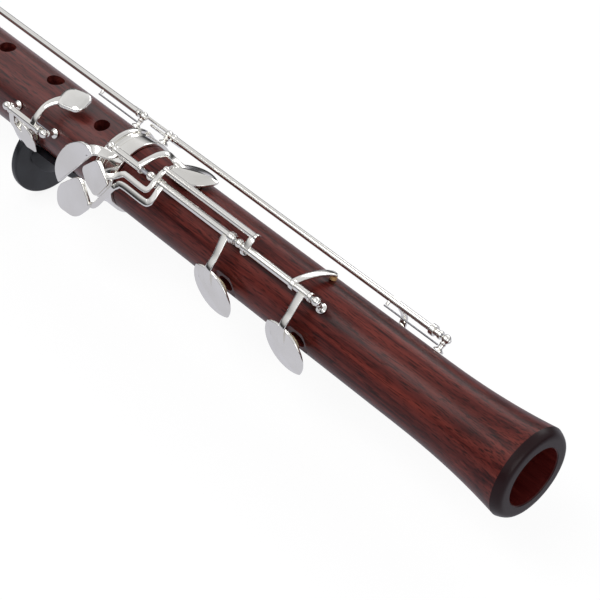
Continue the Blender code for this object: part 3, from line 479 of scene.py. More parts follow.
def ramp(material, source, stops):
    """A colour ramp from a value, with (position, colour) stops."""
    node = add_node(material, "ShaderNodeValToRGB")
    elements = node.color_ramp.elements
    while len(elements) < len(stops):
        elements.new(0.5)
    for element, (position, colour) in zip(elements, stops):
        element.position = position
        element.color = colour
    material.node_tree.links.new(source, node.inputs["Fac"])
    return node.outputs["Color"]


def blend_colours(material, kind, factor, first, second):
    """Mix of two colours; the factor is a number or a socket."""
    node = add_node(material, "ShaderNodeMix", data_type="RGBA", blend_type=kind)
    links = material.node_tree.links
    if isinstance(factor, float):
        node.inputs[0].default_value = factor
    else:
        links.new(factor, node.inputs[0])
    for socket, value in ((node.inputs[6], first), (node.inputs[7], second)):
        if isinstance(value, tuple):
            socket.default_value = value
        else:
            links.new(value, socket)
    return node.outputs[2]


def add_bump(material, shader, height, distance, strength=0.5):
    """Bump from a height, with its depth in metres."""
    bump = add_node(material, "ShaderNodeBump")
    bump.inputs["Strength"].default_value = strength
    bump.inputs["Distance"].default_value = distance
    links = material.node_tree.links
    links.new(height, bump.inputs["Height"])
    links.new(bump.outputs["Normal"], shader.inputs["Normal"])


def rosewood(settings):
    """Oiled and polished rosewood: broad dark streaks and fine dark pores that run along the bore."""
    material, shader, links = new_material("Oiled_rosewood")
    grain = stretched_noise(material, 420, 6, (0.035, 1, 1))
    streaks = stretched_noise(material, 90, 5, (0.09, 1, 1))
    pores = stretched_noise(material, 2100, 3, (0.07, 1, 1))
    base = (*settings.wood_colour, 1.0)
    dark = (*settings.streak_colour, 1.0)
    light = hex_colour("#682b24")
    tone = ramp(material, grain, [(0.32, dark), (0.46, base), (0.68, light)])
    bands = ramp(material, streaks, [(0.34, (0, 0, 0, 1)), (0.52, (1, 1, 1, 1))])
    colour = blend_colours(material, "MIX", bands, blend_colours(material, "MIX", 0.55, tone, dark), tone)
    pits = ramp(material, pores, [(0.38, hex_colour("#6e5a56")), (0.47, (1, 1, 1, 1))])
    colour = blend_colours(material, "MULTIPLY", 0.85, colour, pits)
    links.new(colour, shader.inputs["Base Color"])
    shader.inputs["Roughness"].default_value = 0.34
    shader.inputs["Coat Weight"].default_value = 0.22
    shader.inputs["Coat Roughness"].default_value = 0.16
    add_bump(material, shader, pores, 0.12 * MM, 0.25)
    return material


def bell_wood(settings):
    """The foot's rosewood, stained dark on the turned end ring and red inside the bore."""
    material = rosewood(settings)
    material.name = "Oiled_rosewood_with_dark_end"
    shader = material.node_tree.nodes["Principled BSDF"]
    shader.inputs["Coat Weight"].default_value = 0.04
    shader.inputs["Specular IOR Level"].default_value = 0.18
    links = material.node_tree.links
    grain_colour = shader.inputs["Base Color"].links[0].from_socket
    place = add_node(material, "ShaderNodeTexCoord")
    parts = add_node(material, "ShaderNodeSeparateXYZ")
    links.new(place.outputs["Object"], parts.inputs[0])
    near_end = add_node(material, "ShaderNodeMapRange")
    near_end.inputs["From Min"].default_value = -4.5 * MM
    near_end.inputs["From Max"].default_value = -4.1 * MM
    links.new(parts.outputs["X"], near_end.inputs["Value"])
    stained = blend_colours(material, "MIX", near_end.outputs[0], grain_colour, hex_colour("#1c0a0d"))
    flat = add_node(material, "ShaderNodeVectorMath", operation="MULTIPLY")
    flat.inputs[1].default_value = (0, 1, 1)
    links.new(place.outputs["Object"], flat.inputs[0])
    distance = add_node(material, "ShaderNodeVectorMath", operation="LENGTH")
    links.new(flat.outputs[0], distance.inputs[0])
    inside = add_node(material, "ShaderNodeMapRange")
    inside.inputs["From Min"].default_value = BELL_LIP_RADIUS + 0.35 * MM
    inside.inputs["From Max"].default_value = BELL_LIP_RADIUS - 0.1 * MM
    links.new(distance.outputs["Value"], inside.inputs["Value"])
    red = blend_colours(material, "MIX", 0.6, grain_colour, hex_colour("#4c1211"))
    links.new(blend_colours(material, "MIX", inside.outputs[0], stained, red), shader.inputs["Base Color"])
    return material


def silver(settings):
    """Polished silver plate, with a faint unevenness that breaks its reflections."""
    material, shader, links = new_material("Polished_silver_plate")
    tone = stretched_noise(material, 60, 3)
    links.new(ramp(material, tone, [(0.3, (*settings.silver_colour, 1.0)), (0.8, hex_colour("#fbfaf6"))]),
              shader.inputs["Base Color"])
    shader.inputs["Metallic"].default_value = 1.0
    shader.inputs["Roughness"].default_value = 0.11
    add_bump(material, shader, stretched_noise(material, 140, 2), 0.05 * MM, 0.12)
    return material


def steel():
    """Blued steel of springs and rods, with fine marks from grinding."""
    material, shader, links = new_material("Spring_steel")
    marks = stretched_noise(material, 700, 2, (0.1, 1, 1))
    links.new(ramp(material, marks, [(0.3, hex_colour("#8d9096")), (0.7, hex_colour("#c9cbd0"))]),
              shader.inputs["Base Color"])
    shader.inputs["Metallic"].default_value = 1.0
    shader.inputs["Roughness"].default_value = 0.25
    return material


def plastic(settings):
    """Moulded black plastic with a fine texture in its gloss."""
    material, shader, links = new_material("Moulded_black_plastic")
    tone = stretched_noise(material, 120, 3)
    links.new(ramp(material, tone, [(0.3, (*settings.rest_colour, 1.0)), (0.8, hex_colour("#22252a"))]),
              shader.inputs["Base Color"])
    shader.inputs["Roughness"].default_value = 0.28
    add_bump(material, shader, stretched_noise(material, 1500, 2), 0.04 * MM, 0.2)
    return material


def cork():
    """Pressed cork: pale grains with dark pits."""
    material, shader, links = new_material("Pressed_cork")
    grains = stretched_noise(material, 900, 4)
    links.new(ramp(material, grains, [(0.35, hex_colour("#6d4a2c")), (0.55, hex_colour("#c39a68"))]),
              shader.inputs["Base Color"])
    shader.inputs["Roughness"].default_value = 0.9
    add_bump(material, shader, grains, 0.2 * MM)
    return material


def leather():
    """Pale pad leather with a fine grain."""
    material, shader, links = new_material("Pad_leather")
    grain = stretched_noise(material, 1400, 4)
    links.new(ramp(material, grain, [(0.35, hex_colour("#b9a98a")), (0.65, hex_colour("#dccfb2"))]),
              shader.inputs["Base Color"])
    shader.inputs["Roughness"].default_value = 0.7
    add_bump(material, shader, grain, 0.08 * MM)
    return material


def cedar():
    """Cedar of the block, with straight fine grain."""
    material, shader, links = new_material("Straight_grained_cedar")
    grain = stretched_noise(material, 500, 4, (0.06, 1, 1))
    links.new(ramp(material, grain, [(0.35, hex_colour("#9a5a34")), (0.65, hex_colour("#cf9262"))]),
              shader.inputs["Base Color"])
    shader.inputs["Roughness"].default_value = 0.65
    add_bump(material, shader, grain, 0.05 * MM)
    return material


MATERIALS = {}


def material_for(name):
    """The material of a name, made when it is first asked for."""
    settings = bpy.context.scene.recorder_look
    makers = {"rosewood": lambda: rosewood(settings), "bell": lambda: bell_wood(settings),
              "silver": lambda: silver(settings), "plastic": lambda: plastic(settings),
              "steel": steel, "cork": cork, "leather": leather, "cedar": cedar}
    if name not in MATERIALS:
        MATERIALS[name] = makers[name]()
    return MATERIALS[name]


def key_seat(x):
    """Distance from the bore's axis to the flat that a pad seats on."""
    return wood_radius(x) - FLAT_DEPTH


def drilled(x, angle, radius, bottom, steps=40):
    """Solid of a hole drilled towards the bore, down to a distance from its axis."""
    return [rod_between(at(x, angle, bottom), at(x, angle, wood_radius(x) + 3 * MM), radius, steps, 0.01 * MM)]


def pad_flat(x, angle):
    """Solid of the flat milled round a keyed tone hole, moved by 0.017 mm and 0.03 degrees and given 53
    facets: with 48 facets at the plain place the boolean left the low C flat uncut."""
    return [rod_between(at(x + 0.017 * MM, angle + 0.03, key_seat(x)), at(x + 0.017 * MM, angle + 0.03,
                        wood_radius(x) + 6 * MM), PAD_RADIUS + 1.6 * MM, 53, 0.01 * MM)]


def block_between(low, high):
    """Box between two corners: a square section carried along X."""
    ys = [low[1], high[1], high[1], low[1]]
    zs = [low[2], low[2], high[2], high[2]]
    rings = np.array([[(x, y, z) for y, z in zip(ys, zs)] for x in (low[0], high[0])])
    return [skin(rings)]


def tenon(end, shoulder):
    """Profile of a tenon from its end to its shoulder."""
    sign = math.copysign(1, shoulder - end)
    return [(TENON_RADIUS - 0.5 * MM, end), (TENON_RADIUS, end + sign * 0.7 * MM), (TENON_RADIUS, shoulder)]


def make_foot():
    """Foot joint: the turned profile with its flare and rounded end, cut by its tone holes."""
    turn = np.linspace(0, 1, 12)
    ring = np.column_stack([BELL_RADIUS - BELL_ROUNDING * (1 - turn ** 0.62), -BELL_ROUNDING * turn ** 1.9])
    flare = np.linspace(-BELL_ROUNDING, -BELL_ROUNDING - FLARE_LENGTH, 30)[1:]
    ring_end = FOOT_TOP + RING_LENGTH
    straight = np.linspace(flare[-1], ring_end, 20)[1:]
    along = np.concatenate([flare, straight])
    socket_end = FOOT_TOP + SOCKET_DEPTH
    rest = [(RING_SEAT_RADIUS, ring_end), (RING_SEAT_RADIUS, FOOT_TOP), (SOCKET_RADIUS, FOOT_TOP),
            (SOCKET_RADIUS, socket_end), (FOOT_BORE_RADIUS, socket_end), (FOOT_BORE_RADIUS, -90 * MM),
            (BELL_LIP_RADIUS - 1.4 * MM, -22 * MM), (BELL_LIP_RADIUS, -0.5 * MM), (BELL_LIP_RADIUS + 0.5 * MM, 0)]
    profile = np.vstack([ring, np.column_stack([foot_radius(along), along]), rest])
    foot = make_object("foot_wood", [spun(profile, 144, loop=True)])
    cuts = []
    for x, angle in (D_SHARP_CUP, LOW_C_CUP, LOW_B_CUP, LEFT_CUP):
        cuts += [pad_flat(x, angle), drilled(x, angle, KEY_HOLE_RADIUS, FOOT_BORE_RADIUS - 2 * MM)]
    carve(foot, cuts)
    dress(foot, material_for("bell"), "body", "rosewood", "foot_joint", angle=math.radians(16))


def make_middle():
    """Middle joint: turned, with its tenons, and cut by the finger holes."""
    low, high = FOOT_TOP - 0.6 * MM, HEAD_END + 0.3 * MM
    outer = np.linspace(low, high, 30)
    body = np.column_stack([np.interp(outer, [high, low], [MIDDLE_RADIUS, MIDDLE_RADIUS_LOW]), outer])
    low_end, high_end = low + TENON_LENGTH, high - TENON_LENGTH
    profile = np.vstack([tenon(low_end, low), body, tenon(high_end, high)[::-1],
                         [(MIDDLE_BORE_HIGH, high_end), (MIDDLE_BORE_LOW, low_end)]])
    middle = make_object("middle_wood", [spun(profile, 144, loop=True)])
    cuts = [drilled(x, angle, radius, MIDDLE_BORE_LOW - 2 * MM) for x, angle, radius in FINGER_HOLES]
    cuts += [pad_flat(*SHARP_CUP), drilled(*SHARP_CUP, KEY_HOLE_RADIUS, MIDDLE_BORE_LOW - 2 * MM)]
    carve(middle, cuts)
    dress(middle, material_for("rosewood"), "body", "rosewood", "middle_joint")


def make_head():
    """Head joint: turned, then cut by the windway, the window, the labium's ramp and the beak's curve."""
    window_end = WINDOW_X + WINDOW_LENGTH
    ring_end = HEAD_END - RING_LENGTH
    profile = softened([(RING_SEAT_RADIUS, HEAD_END), (RING_SEAT_RADIUS, ring_end), (MIDDLE_RADIUS, ring_end),
                        (HEAD_RADIUS, ring_end - 14 * MM), (HEAD_RADIUS, WINDOW_X), (BEAK_RADIUS, HEAD_START),
                        (HEAD_BORE_RADIUS, HEAD_START), (HEAD_BORE_RADIUS, HEAD_END - SOCKET_DEPTH),
                        (SOCKET_RADIUS, HEAD_END - SOCKET_DEPTH), (SOCKET_RADIUS, HEAD_END)], 0.6 * MM, True)
    head = make_object("head_wood", [spun(profile, 144, loop=True)])
    half = WINDWAY_WIDTH / 2
    windway = block_between((HEAD_START - 1 * MM, -half, 9 * MM),
                            (WINDOW_X + 1 * MM, half, HEAD_BORE_RADIUS + WINDWAY_HEIGHT))
    window = block_between((WINDOW_X, -half, 8 * MM), (window_end, half, 30 * MM))
    rise_end = window_end + LABIUM_LENGTH
    ramp_side = [(window_end - 0.5 * MM, LABIUM_EDGE), (rise_end, HEAD_RADIUS + 0.6 * MM),
                 (rise_end, 30 * MM), (window_end - 0.5 * MM, 30 * MM)]
    labium = [skin(np.array([[(x, y, z) for x, z in ramp_side] for y in (-half, half)]))]
    carve(head, [windway, window, labium, beak_curve()])
    dress(head, material_for("rosewood"), "head", "rosewood", "head_joint")
    block = make_object("cedar_block", [rod_between((HEAD_START, 0, 0), (WINDOW_X - SEAT_GAP, 0, 0),
                                                    HEAD_BORE_RADIUS - SEAT_GAP, 96, 0.4 * MM)])
    carve(block, [beak_curve()])
    dress(block, material_for("cedar"), "head", "cedar", "block")


def beak_curve():
    """Solid of the round cut under the beak."""
    centre = Vector((HEAD_START - 15 * MM, 0, -68 * MM))
    side = Vector((0, 30 * MM, 0))
    return [rod_between(centre - side, centre + side, BEAK_CURVE_RADIUS, 160, 0.01 * MM)]


def make_ring(name, wood_end, sign, body, node):
    """Stepped silver ring: a softened stepped profile, from the wood outwards."""
    steps = [(0.0, 18.2), (0.0, 18.6), (0.6, 18.7), (7.4, 18.7), (7.8, 17.9), (8.4, 17.6), (10.2, 17.6),
             (10.8, 18.0), (11.2, 19.2), (12.0, 19.6), (13.2, 19.6), (13.9, 19.2), (14.1, 18.0), (14.1, 17.7)]
    outer = [(radius * MM, wood_end + sign * (SEAT_GAP + along * MM)) for along, radius in steps]
    inner = RING_SEAT_RADIUS + SEAT_GAP
    profile = softened(outer + [(inner, outer[-1][1]), (inner, outer[0][1])], 0.5 * MM, True)
    ring = make_object(name, [spun(profile, 144, loop=True)])
    dress(ring, material_for("silver"), body, "silver_plate", node)


def make_thumb_rest():
    """Black thumb rest: a saddle, a round hook plate and a cone between them, joined, cut to the wood."""
    x0, x1 = REST_X
    rest = make_object("thumb_rest_moulding", [rod_between((x0, 0, 0), (x1, 0, 0), REST_RADIUS, 128, 1.2 * MM)])
    hook = [rod_between((x0 - 0.4 * MM, 0, HOOK_CENTRE), (x0 + HOOK_THICKNESS, 0, HOOK_CENTRE), HOOK_RADIUS,
                        96, 1.2 * MM)]
    cone = [rod_between((x0 + 3 * MM, 0, -22 * MM), (x0 + 12 * MM, 0, -17 * MM), 13 * MM, 64, 0.3 * MM, 4 * MM)]
    wood = [rod_between((x0 - 5 * MM, 0, 0), (x1 + 5 * MM, 0, 0), MIDDLE_RADIUS + SEAT_GAP, 128, 0.01 * MM)]
    front = block_between((x0 - 5 * MM, -40 * MM, -12 * MM), (x1 + 5 * MM, 40 * MM, 40 * MM))
    cuts = [wood, front]
    for x in REST_SCREWS:
        cuts.append([rod_between((x, 0, -REST_RADIUS + 0.9 * MM), (x, 0, -60 * MM), 3.0 * MM, 40, 0.01 * MM)])
    carve(rest, cuts, [hook, cone])
    dress(rest, material_for("plastic"), "body", "plastic", "thumb_rest")


def make_post(name, x, line, soldered, body="body"):
    """Turned silver post: a spun profile of a ball with a small nipple, a waist, a stem and a flange."""
    angle, level = line
    ground = (18.7 * MM if soldered else wood_radius(x)) + SEAT_GAP
    turn = np.linspace(0.14, np.pi * 0.8, 16)
    ball = np.column_stack([BALL_RADIUS * np.sin(turn), level + BALL_RADIUS * np.cos(turn)])
    stem = [(STEM_RADIUS, level - 2.1 * MM), (STEM_RADIUS + 0.3 * MM, level - 2.5 * MM),
            (STEM_RADIUS, level - 2.9 * MM), (STEM_RADIUS * 0.9, ground + 1.6 * MM), (2.0 * MM, ground + 1.0 * MM),
            (2.5 * MM, ground + 0.6 * MM), (2.5 * MM, ground), (0.02 * MM, ground)]
    matrix = Matrix.Translation((x, 0, 0)) @ Matrix.Rotation(math.radians(angle), 4, "X")
    surfaces = [spun(softened(np.vstack([ball, stem]), 0.3 * MM), 36, matrix)]
    cap = 0.9 * MM
    surfaces.append(rod_between(at(x - BALL_RADIUS - 0.15 * MM, *line), at(x + BALL_RADIUS + 0.15 * MM, *line), cap))
    post = make_object(name + "_silver", surfaces)
    dress(post, material_for("silver"), body, "silver_plate", name)


def cup_surfaces(x, angle, leaf, swing):
    """A cup: crowned leaf plate over a round dish."""
    seat = key_seat(x)
    rim = seat + PAD_THICKNESS - 0.5 * MM
    top = seat + 2 * SEAT_GAP + PAD_THICKNESS + CUP_WALL
    plate_frame = swing @ facing_frame(x, angle, top + LEAF_THICKNESS / 2 - 0.2 * MM)
    cover = pillow(leaf_outline(*leaf), LEAF_THICKNESS, plate_frame, 0.5 * MM, 1.9 * MM, leaf[2])
    outer, inner = PAD_RADIUS + SEAT_GAP + CUP_WALL, PAD_RADIUS + SEAT_GAP
    profile = softened([(outer, top), (outer, rim), (inner, rim), (inner, top - CUP_WALL),
                        (0.02 * MM, top - CUP_WALL)], 0.3 * MM)
    matrix = swing @ Matrix.Translation((x, 0, 0)) @ Matrix.Rotation(math.radians(angle), 4, "X")
    return [cover, spun(np.vstack([[(0.02 * MM, top)], profile]), 64, matrix)]


def make_pad(name, body, x, angle, swing):
    """Round leather pad with a softened edge."""
    seat = key_seat(x) + SEAT_GAP
    surface = rod_between(swing @ at(x, angle, seat), swing @ at(x, angle, seat + PAD_THICKNESS), PAD_RADIUS, 56,
                          0.5 * MM)
    pad = make_object(name + "_leather", [surface])
    dress(pad, material_for("leather"), body, "leather", name)


def cup_arm(x, line, cup, swing, widths, sign=1):
    """Arm from a hinge tube down to the middle of an open cup."""
    angle, level = line
    top = key_seat(cup[0]) + 2 * SEAT_GAP + PAD_THICKNESS + CUP_WALL + LEAF_THICKNESS
    over = swing @ on_plane(cup[0], cup[1], top + 0.5 * MM, -sign * 11.0 * MM)
    end = swing @ on_plane(cup[0], cup[1], top + 0.2 * MM, 0)
    start = at(x, angle + sign * 3, level + 1.4 * MM)
    bend = start.lerp(over, 0.5) + Vector((0, over.y, over.z)).normalized() * 0.5 * MM
    over.x = (x + cup[0]) / 2
    return arm([start, bend, over, end], [w * MM for w in widths], 1.6 * MM)


def touch_point(x, across, drop=0.0):
    """Point in the plane of the little finger's touches."""
    return on_plane(x * MM, TOUCH_ANGLE, TOUCH_LEVEL - drop * MM, across * MM)


def places(rows):
    """Points from rows of X and distance in millimetres with an angle in degrees between them."""
    return [at(x * MM, angle, radius * MM) for x, angle, radius in rows]


def hook(x, line):
    """Peg that a needle spring bears on."""
    return rod_between(at(x, line[0], SPRING_LEVEL + 0.7 * MM), at(x, *line), 0.8 * MM, 16, 0.2 * MM)


def collar(x, line):
    """Narrow ring round a hinge tube."""
    half = 1.3 * MM
    return rod_between(at(x - half, *line), at(x + half, *line), TUBE_RADIUS + 0.75 * MM, 36, 0.4 * MM)


def make_sharp_key():
    """G sharp key."""
    x0, x1 = SHARP_POSTS[0] + POST_SPACE, SHARP_POSTS[1] - POST_SPACE
    frame_of_touch = facing_frame(-291.3 * MM, 15, 23.6 * MM, 0.6 * MM)
    still = Matrix.Identity(4)
    surfaces = [
        tube_along(x0, x1, SHARP_LINE),
        pillow(rounded_outline(15.5 * MM, 12.6 * MM, 4.6 * MM, -16), 2.4 * MM, frame_of_touch, 0.9 * MM, 0.7 * MM),
        arm(places([(-300.5, 66, 26.6), (-300.3, 57, 26.5), (-299.6, 43, 25.9), (-297.4, 31, 24.9),
                    (-293.5, 20, 24.2)]), [w * MM for w in (3.4, 3.2, 3.2, 4.0, 5.0)], 1.6 * MM),
        arm(places([(-316.2, 70, 26.2), (-315.4, 82, 24.6), (-313.6, 92, 22.4), (-311.8, 99, 21.6)]),
            [w * MM for w in (3.2, 3.2, 3.6, 4.0)], 1.6 * MM),
        hook(-305.5 * MM, SHARP_LINE), *cup_surfaces(*SHARP_CUP, SHARP_LEAF, still)]
    dress(make_object("g_sharp_key_silver", surfaces), material_for("silver"), "g_sharp", "silver_plate",
          "g_sharp_key")
    make_pad("g_sharp_pad", "g_sharp", *SHARP_CUP, still)


def make_d_sharp_key():
    """D sharp key."""
    x0, x1 = POST_1 + POST_SPACE, POST_2 - POST_SPACE - 3.1 * MM
    middle = facing_frame(-264.1 * MM, TOUCH_ANGLE, TOUCH_LEVEL, -1.05 * MM)
    still = Matrix.Identity(4)
    rise = places([(-234.2, 33, 26.8), (-232.4, 22, 27.0), (-230.8, 12, 27.2), (-229.2, 4, 26.4),
                   (-226.6, 0, 23.4), (-222.5, -2, 21.7), (-217.5, -5, 21.3)])
    web = [touch_point(-260.2, -12.2, 0.2), touch_point(-255.6, -14.9, 1.2), *places([(-250.6, 42, 26.9),
                                                                                     (-249.4, 35, 25.6)])]
    surfaces = [
        tube_along(x0, x1, NEAR_LINE),
        pillow(half_oval_outline(29.4 * MM, 11.6 * MM, 125.0), TOUCH_THICKNESS, middle, 0.6 * MM, 0.2 * MM),
        arm(web, [w * MM for w in (6.0, 5.0, 4.4, 4.2)], 1.5 * MM),
        arm(rise, [w * MM for w in (3.2, 3.2, 3.4, 3.6, 3.6, 3.6, 3.6)], 1.5 * MM),
        hook(-244.0 * MM, NEAR_LINE), *cup_surfaces(*D_SHARP_CUP, SMALL_LEAF, still)]
    dress(make_object("d_sharp_key_silver", surfaces), material_for("silver"), "d_sharp", "silver_plate",
          "d_sharp_key")
    make_pad("d_sharp_pad", "d_sharp", *D_SHARP_CUP, still)


def make_low_c_key():
    """Low C key."""
    swing = swung(NEAR_LINE, -OPEN_ANGLE)
    frame_of_touch = facing_frame(-261.7 * MM, TOUCH_ANGLE, TOUCH_LEVEL, 11.6 * MM)
    route = [touch_point(-258.0, 11.8, 1.2), touch_point(-252.5, 11.6, 1.4), touch_point(-248.4, 10.2, 1.5),
             touch_point(-244.2, 3.2, 1.5), touch_point(-240.4, -3.2, 1.4),
             *places([(-238.6, 63.0, 26.6), (-235.6, 58.8, 26.5), (-221.0, 58.5, 26.5), (-218.0, 56.0, 26.4),
                      (-217.2, 51.0, 26.3), (-217.2, 43.0, 26.2), (-217.3, 37.0, 25.9)])]
    widths = [w * MM for w in (3.0, 3.0, 2.8, 2.8, 2.8, 3.0, 3.4, 3.5, 3.5, 3.4, 3.2, 3.2)]
    surfaces = [
        tube_along(-219.1 * MM, POST_3 - POST_SPACE, NEAR_LINE),
        pillow(bowed_polygon([(-272.6, 12.8), (-260.3, 0.4), (-248.4, 11.0), (-256.2, 21.6), (-269.4, 22.2)],
                             (-261.7, 11.6), 4.2 * MM), TOUCH_THICKNESS, frame_of_touch, 0.6 * MM, 0.2 * MM),
        arm(route, widths, 1.5 * MM), collar(-171.4 * MM, NEAR_LINE), hook(-197.0 * MM, NEAR_LINE),
        cup_arm(-173.6 * MM, NEAR_LINE, LOW_C_CUP, swing, (4.0, 3.6, 3.8, 4.4)),
        *cup_surfaces(*LOW_C_CUP, LARGE_LEAF, swing)]
    dress(make_object("low_c_key_silver", surfaces), material_for("silver"), "low_c", "silver_plate", "low_c_key")
    make_pad("low_c_pad", "low_c", *LOW_C_CUP, swing)


def make_low_b_key():
    """Low B key with its bridge tube and stop arm."""
    swing = swung(NEAR_LINE, -OPEN_ANGLE)
    frame_of_touch = facing_frame(-250.8 * MM, TOUCH_ANGLE, TOUCH_LEVEL, -4.0 * MM)
    route = [touch_point(-248.5, -6.2, 0.3), touch_point(-244.6, -7.4, 0.5),
             *places([(-241.4, 55.2, 27.1), (-238.4, 49.6, 27.0), (-236.0, 48.2, 27.0), (-224.4, 48.4, 27.0),
                      (-221.9, 46.0, 27.0), (-221.4, 41.0, 27.0), (-221.4, 34.5, 27.2), (-220.8, 27.5, 28.2),
                      (-220.0, 22.0, 28.6)])]
    widths = [w * MM for w in (3.4, 3.0, 2.8, 2.8, 2.8, 2.8, 2.8, 2.8, 2.8, 3.0, 2.8)]
    lower = places([(-160.8, 20.5, 28.4), (-160.9, 27, 27.8), (-161.2, 34, 26.4)])
    over = places([(-131.2, 33, 26.8), (-130.6, 22, 24.4), (-129.6, 8, 22.3), (-128.5, -6, 21.2),
                   (-127.6, -15, 20.7), (-127.0, -21, 20.4)])
    surfaces = [
        tube_along(POST_3 + POST_SPACE, POST_4 - POST_SPACE, NEAR_LINE),
        tube_along(-223.6 * MM, -219.4 * MM, NEAR_LINE), arm(route, widths, 1.5 * MM),
        tube_along(-221.2 * MM, -159.0 * MM, (21.5, 28.0 * MM), BRIDGE_RADIUS),
        pillow(bowed_polygon([(-260.6, -3.7), (-251.8, -13.0), (-241.6, -5.5), (-247.4, 5.2), (-255.4, 1.6)],
                             (-250.8, -4.0), 2.8 * MM), TOUCH_THICKNESS, frame_of_touch, 0.6 * MM, 0.2 * MM),
        arm(lower, [3.6 * MM, 3.8 * MM, 3.8 * MM], 1.6 * MM),
        arm(over, [w * MM for w in (3.4, 3.4, 3.6, 3.8, 3.8, 3.8)], 1.5 * MM),
        collar(-131.2 * MM, NEAR_LINE), hook(-152.5 * MM, NEAR_LINE),
        cup_arm(-124.6 * MM, NEAR_LINE, LOW_B_CUP, swing, (4.2, 3.8, 3.6, 4.2)),
        *cup_surfaces(*LOW_B_CUP, LARGE_LEAF, swing)]
    dress(make_object("low_b_key_silver", surfaces), material_for("silver"), "low_b", "silver_plate", "low_b_key")
    make_pad("low_b_pad", "low_b", *LOW_B_CUP, swing)


def make_left_keys():
    """Long key of the foot on the far side, and the left-hand lever that turns it."""
    swing = swung(FAR_LINE, OPEN_ANGLE)
    x0, x1 = FAR_POSTS_LOW[0] + POST_SPACE, FAR_POSTS_LOW[1] - POST_SPACE
    finger_widths = [3.0 * MM, 3.0 * MM, 2.6 * MM, 2.6 * MM]
    surfaces = [
        tube_along(x0, x1, FAR_LINE, FAR_TUBE_RADIUS), collar(-77.0 * MM, FAR_LINE), hook(-102.5 * MM, FAR_LINE),
        arm(places([(-244.0, -49, 24.2), (-244.6, -55, 23.8), (-247.0, -60, 23.3), (-266.0, -60, 23.3)]),
            finger_widths, 1.3 * MM),
        cup_arm(-101.0 * MM, FAR_LINE, LEFT_CUP, swing, (4.0, 3.6, 3.8, 4.4), -1),
        *cup_surfaces(*LEFT_CUP, LEFT_LEAF, swing)]
    dress(make_object("long_foot_key_silver", surfaces), material_for("silver"), "long_foot", "silver_plate",
          "long_foot_key")
    make_pad("long_foot_pad", "long_foot", *LEFT_CUP, swing)
    x0, x1 = FAR_POSTS_HIGH[0] + POST_SPACE, FAR_POSTS_HIGH[1] - POST_SPACE
    surfaces = [
        tube_along(x0, x1, FAR_LINE, FAR_TUBE_RADIUS), hook(-298.0 * MM, FAR_LINE),
        arm(places([(-276.5, -49, 25.2), (-276.0, -55, 25.4), (-273.6, -60, 25.4), (-254.0, -60, 25.4)]),
            finger_widths, 1.3 * MM),
        pillow(rounded_outline(24 * MM, 9 * MM, 3.6 * MM, 8), TOUCH_THICKNESS, facing_frame(-420 * MM, -78, 26.6 * MM)),
        arm(places([(-421, -50, 25.4), (-421, -58, 26.6), (-420, -76, 26.6)]), [5.0 * MM, 5.0 * MM, 5.0 * MM],
            1.5 * MM)]
    dress(make_object("left_hand_lever_silver", surfaces), material_for("silver"), "lever", "silver_plate",
          "left_hand_lever")


class RecorderLook(bpy.types.PropertyGroup):
    """Colours and light that a user may change."""
    wood_colour: bpy.props.FloatVectorProperty(
        name="Wood", description="Main colour of the rosewood", subtype="COLOR", size=3, min=0, max=1,
        default=hex_colour("#501c18")[:3])
    streak_colour: bpy.props.FloatVectorProperty(
        name="Streaks", description="Colour of the wood's dark streaks", subtype="COLOR", size=3, min=0, max=1,
        default=hex_colour("#2f0706")[:3])
    silver_colour: bpy.props.FloatVectorProperty(
        name="Silver", description="Colour of the silver plate", subtype="COLOR", size=3, min=0, max=1,
        default=hex_colour("#eeece6")[:3])
    rest_colour: bpy.props.FloatVectorProperty(
        name="Thumb rest", description="Colour of the black plastic", subtype="COLOR", size=3, min=0, max=1,
        default=hex_colour("#101216")[:3])
    key_light: bpy.props.FloatProperty(
        name="Key light", description="Power of the main soft light", unit="POWER", default=5.5, min=0)
    floor_level: bpy.props.FloatProperty(
        name="Floor", description="Height of the floor", unit="LENGTH", default=FLOOR_LEVEL)


class RECORDER_OT_body(bpy.types.Operator):
    """Make the turned wood of the three joints and the block"""
    bl_idname = "recorder.body"
    bl_label = "Make the wooden joints"

    def execute(self, context):
        make_foot()
        make_middle()
        make_head()
        return {"FINISHED"}


class RECORDER_OT_rings(bpy.types.Operator):
    """Make the two stepped silver rings"""
    bl_idname = "recorder.rings"
    bl_label = "Make the rings"

    def execute(self, context):
        make_ring("foot_ring_silver", FOOT_TOP + RING_LENGTH, -1, "body", "foot_ring")
        make_ring("head_ring_silver", HEAD_END - RING_LENGTH, 1, "head", "head_ring")
        return {"FINISHED"}


class RECORDER_OT_thumb_rest(bpy.types.Operator):
    """Make the black thumb rest"""
    bl_idname = "recorder.thumb_rest"
    bl_label = "Make the thumb rest"

    def execute(self, context):
        make_thumb_rest()
        return {"FINISHED"}


class RECORDER_OT_posts(bpy.types.Operator):
    """Make the posts that carry the keys"""
    bl_idname = "recorder.posts"
    bl_label = "Make the posts"

    def execute(self, context):
        places_of_posts = [
            ("post_foot_1", POST_1, NEAR_LINE, True), ("post_foot_2", POST_2, NEAR_LINE, False),
            ("post_foot_3", POST_3, NEAR_LINE, False), ("post_foot_4", POST_4, NEAR_LINE, False),
            ("post_sharp_1", SHARP_POSTS[0], SHARP_LINE, False), ("post_sharp_2", SHARP_POSTS[1], SHARP_LINE, False),
            ("post_long_1", FAR_POSTS_LOW[0], FAR_LINE, True), ("post_long_2", FAR_POSTS_LOW[1], FAR_LINE, False),
            ("post_lever_1", FAR_POSTS_HIGH[0], FAR_LINE, False), ("post_lever_2", FAR_POSTS_HIGH[1], FAR_LINE, False)]
        for name, x, line, soldered in places_of_posts:
            make_post(name, x, line, soldered)
        return {"FINISHED"}


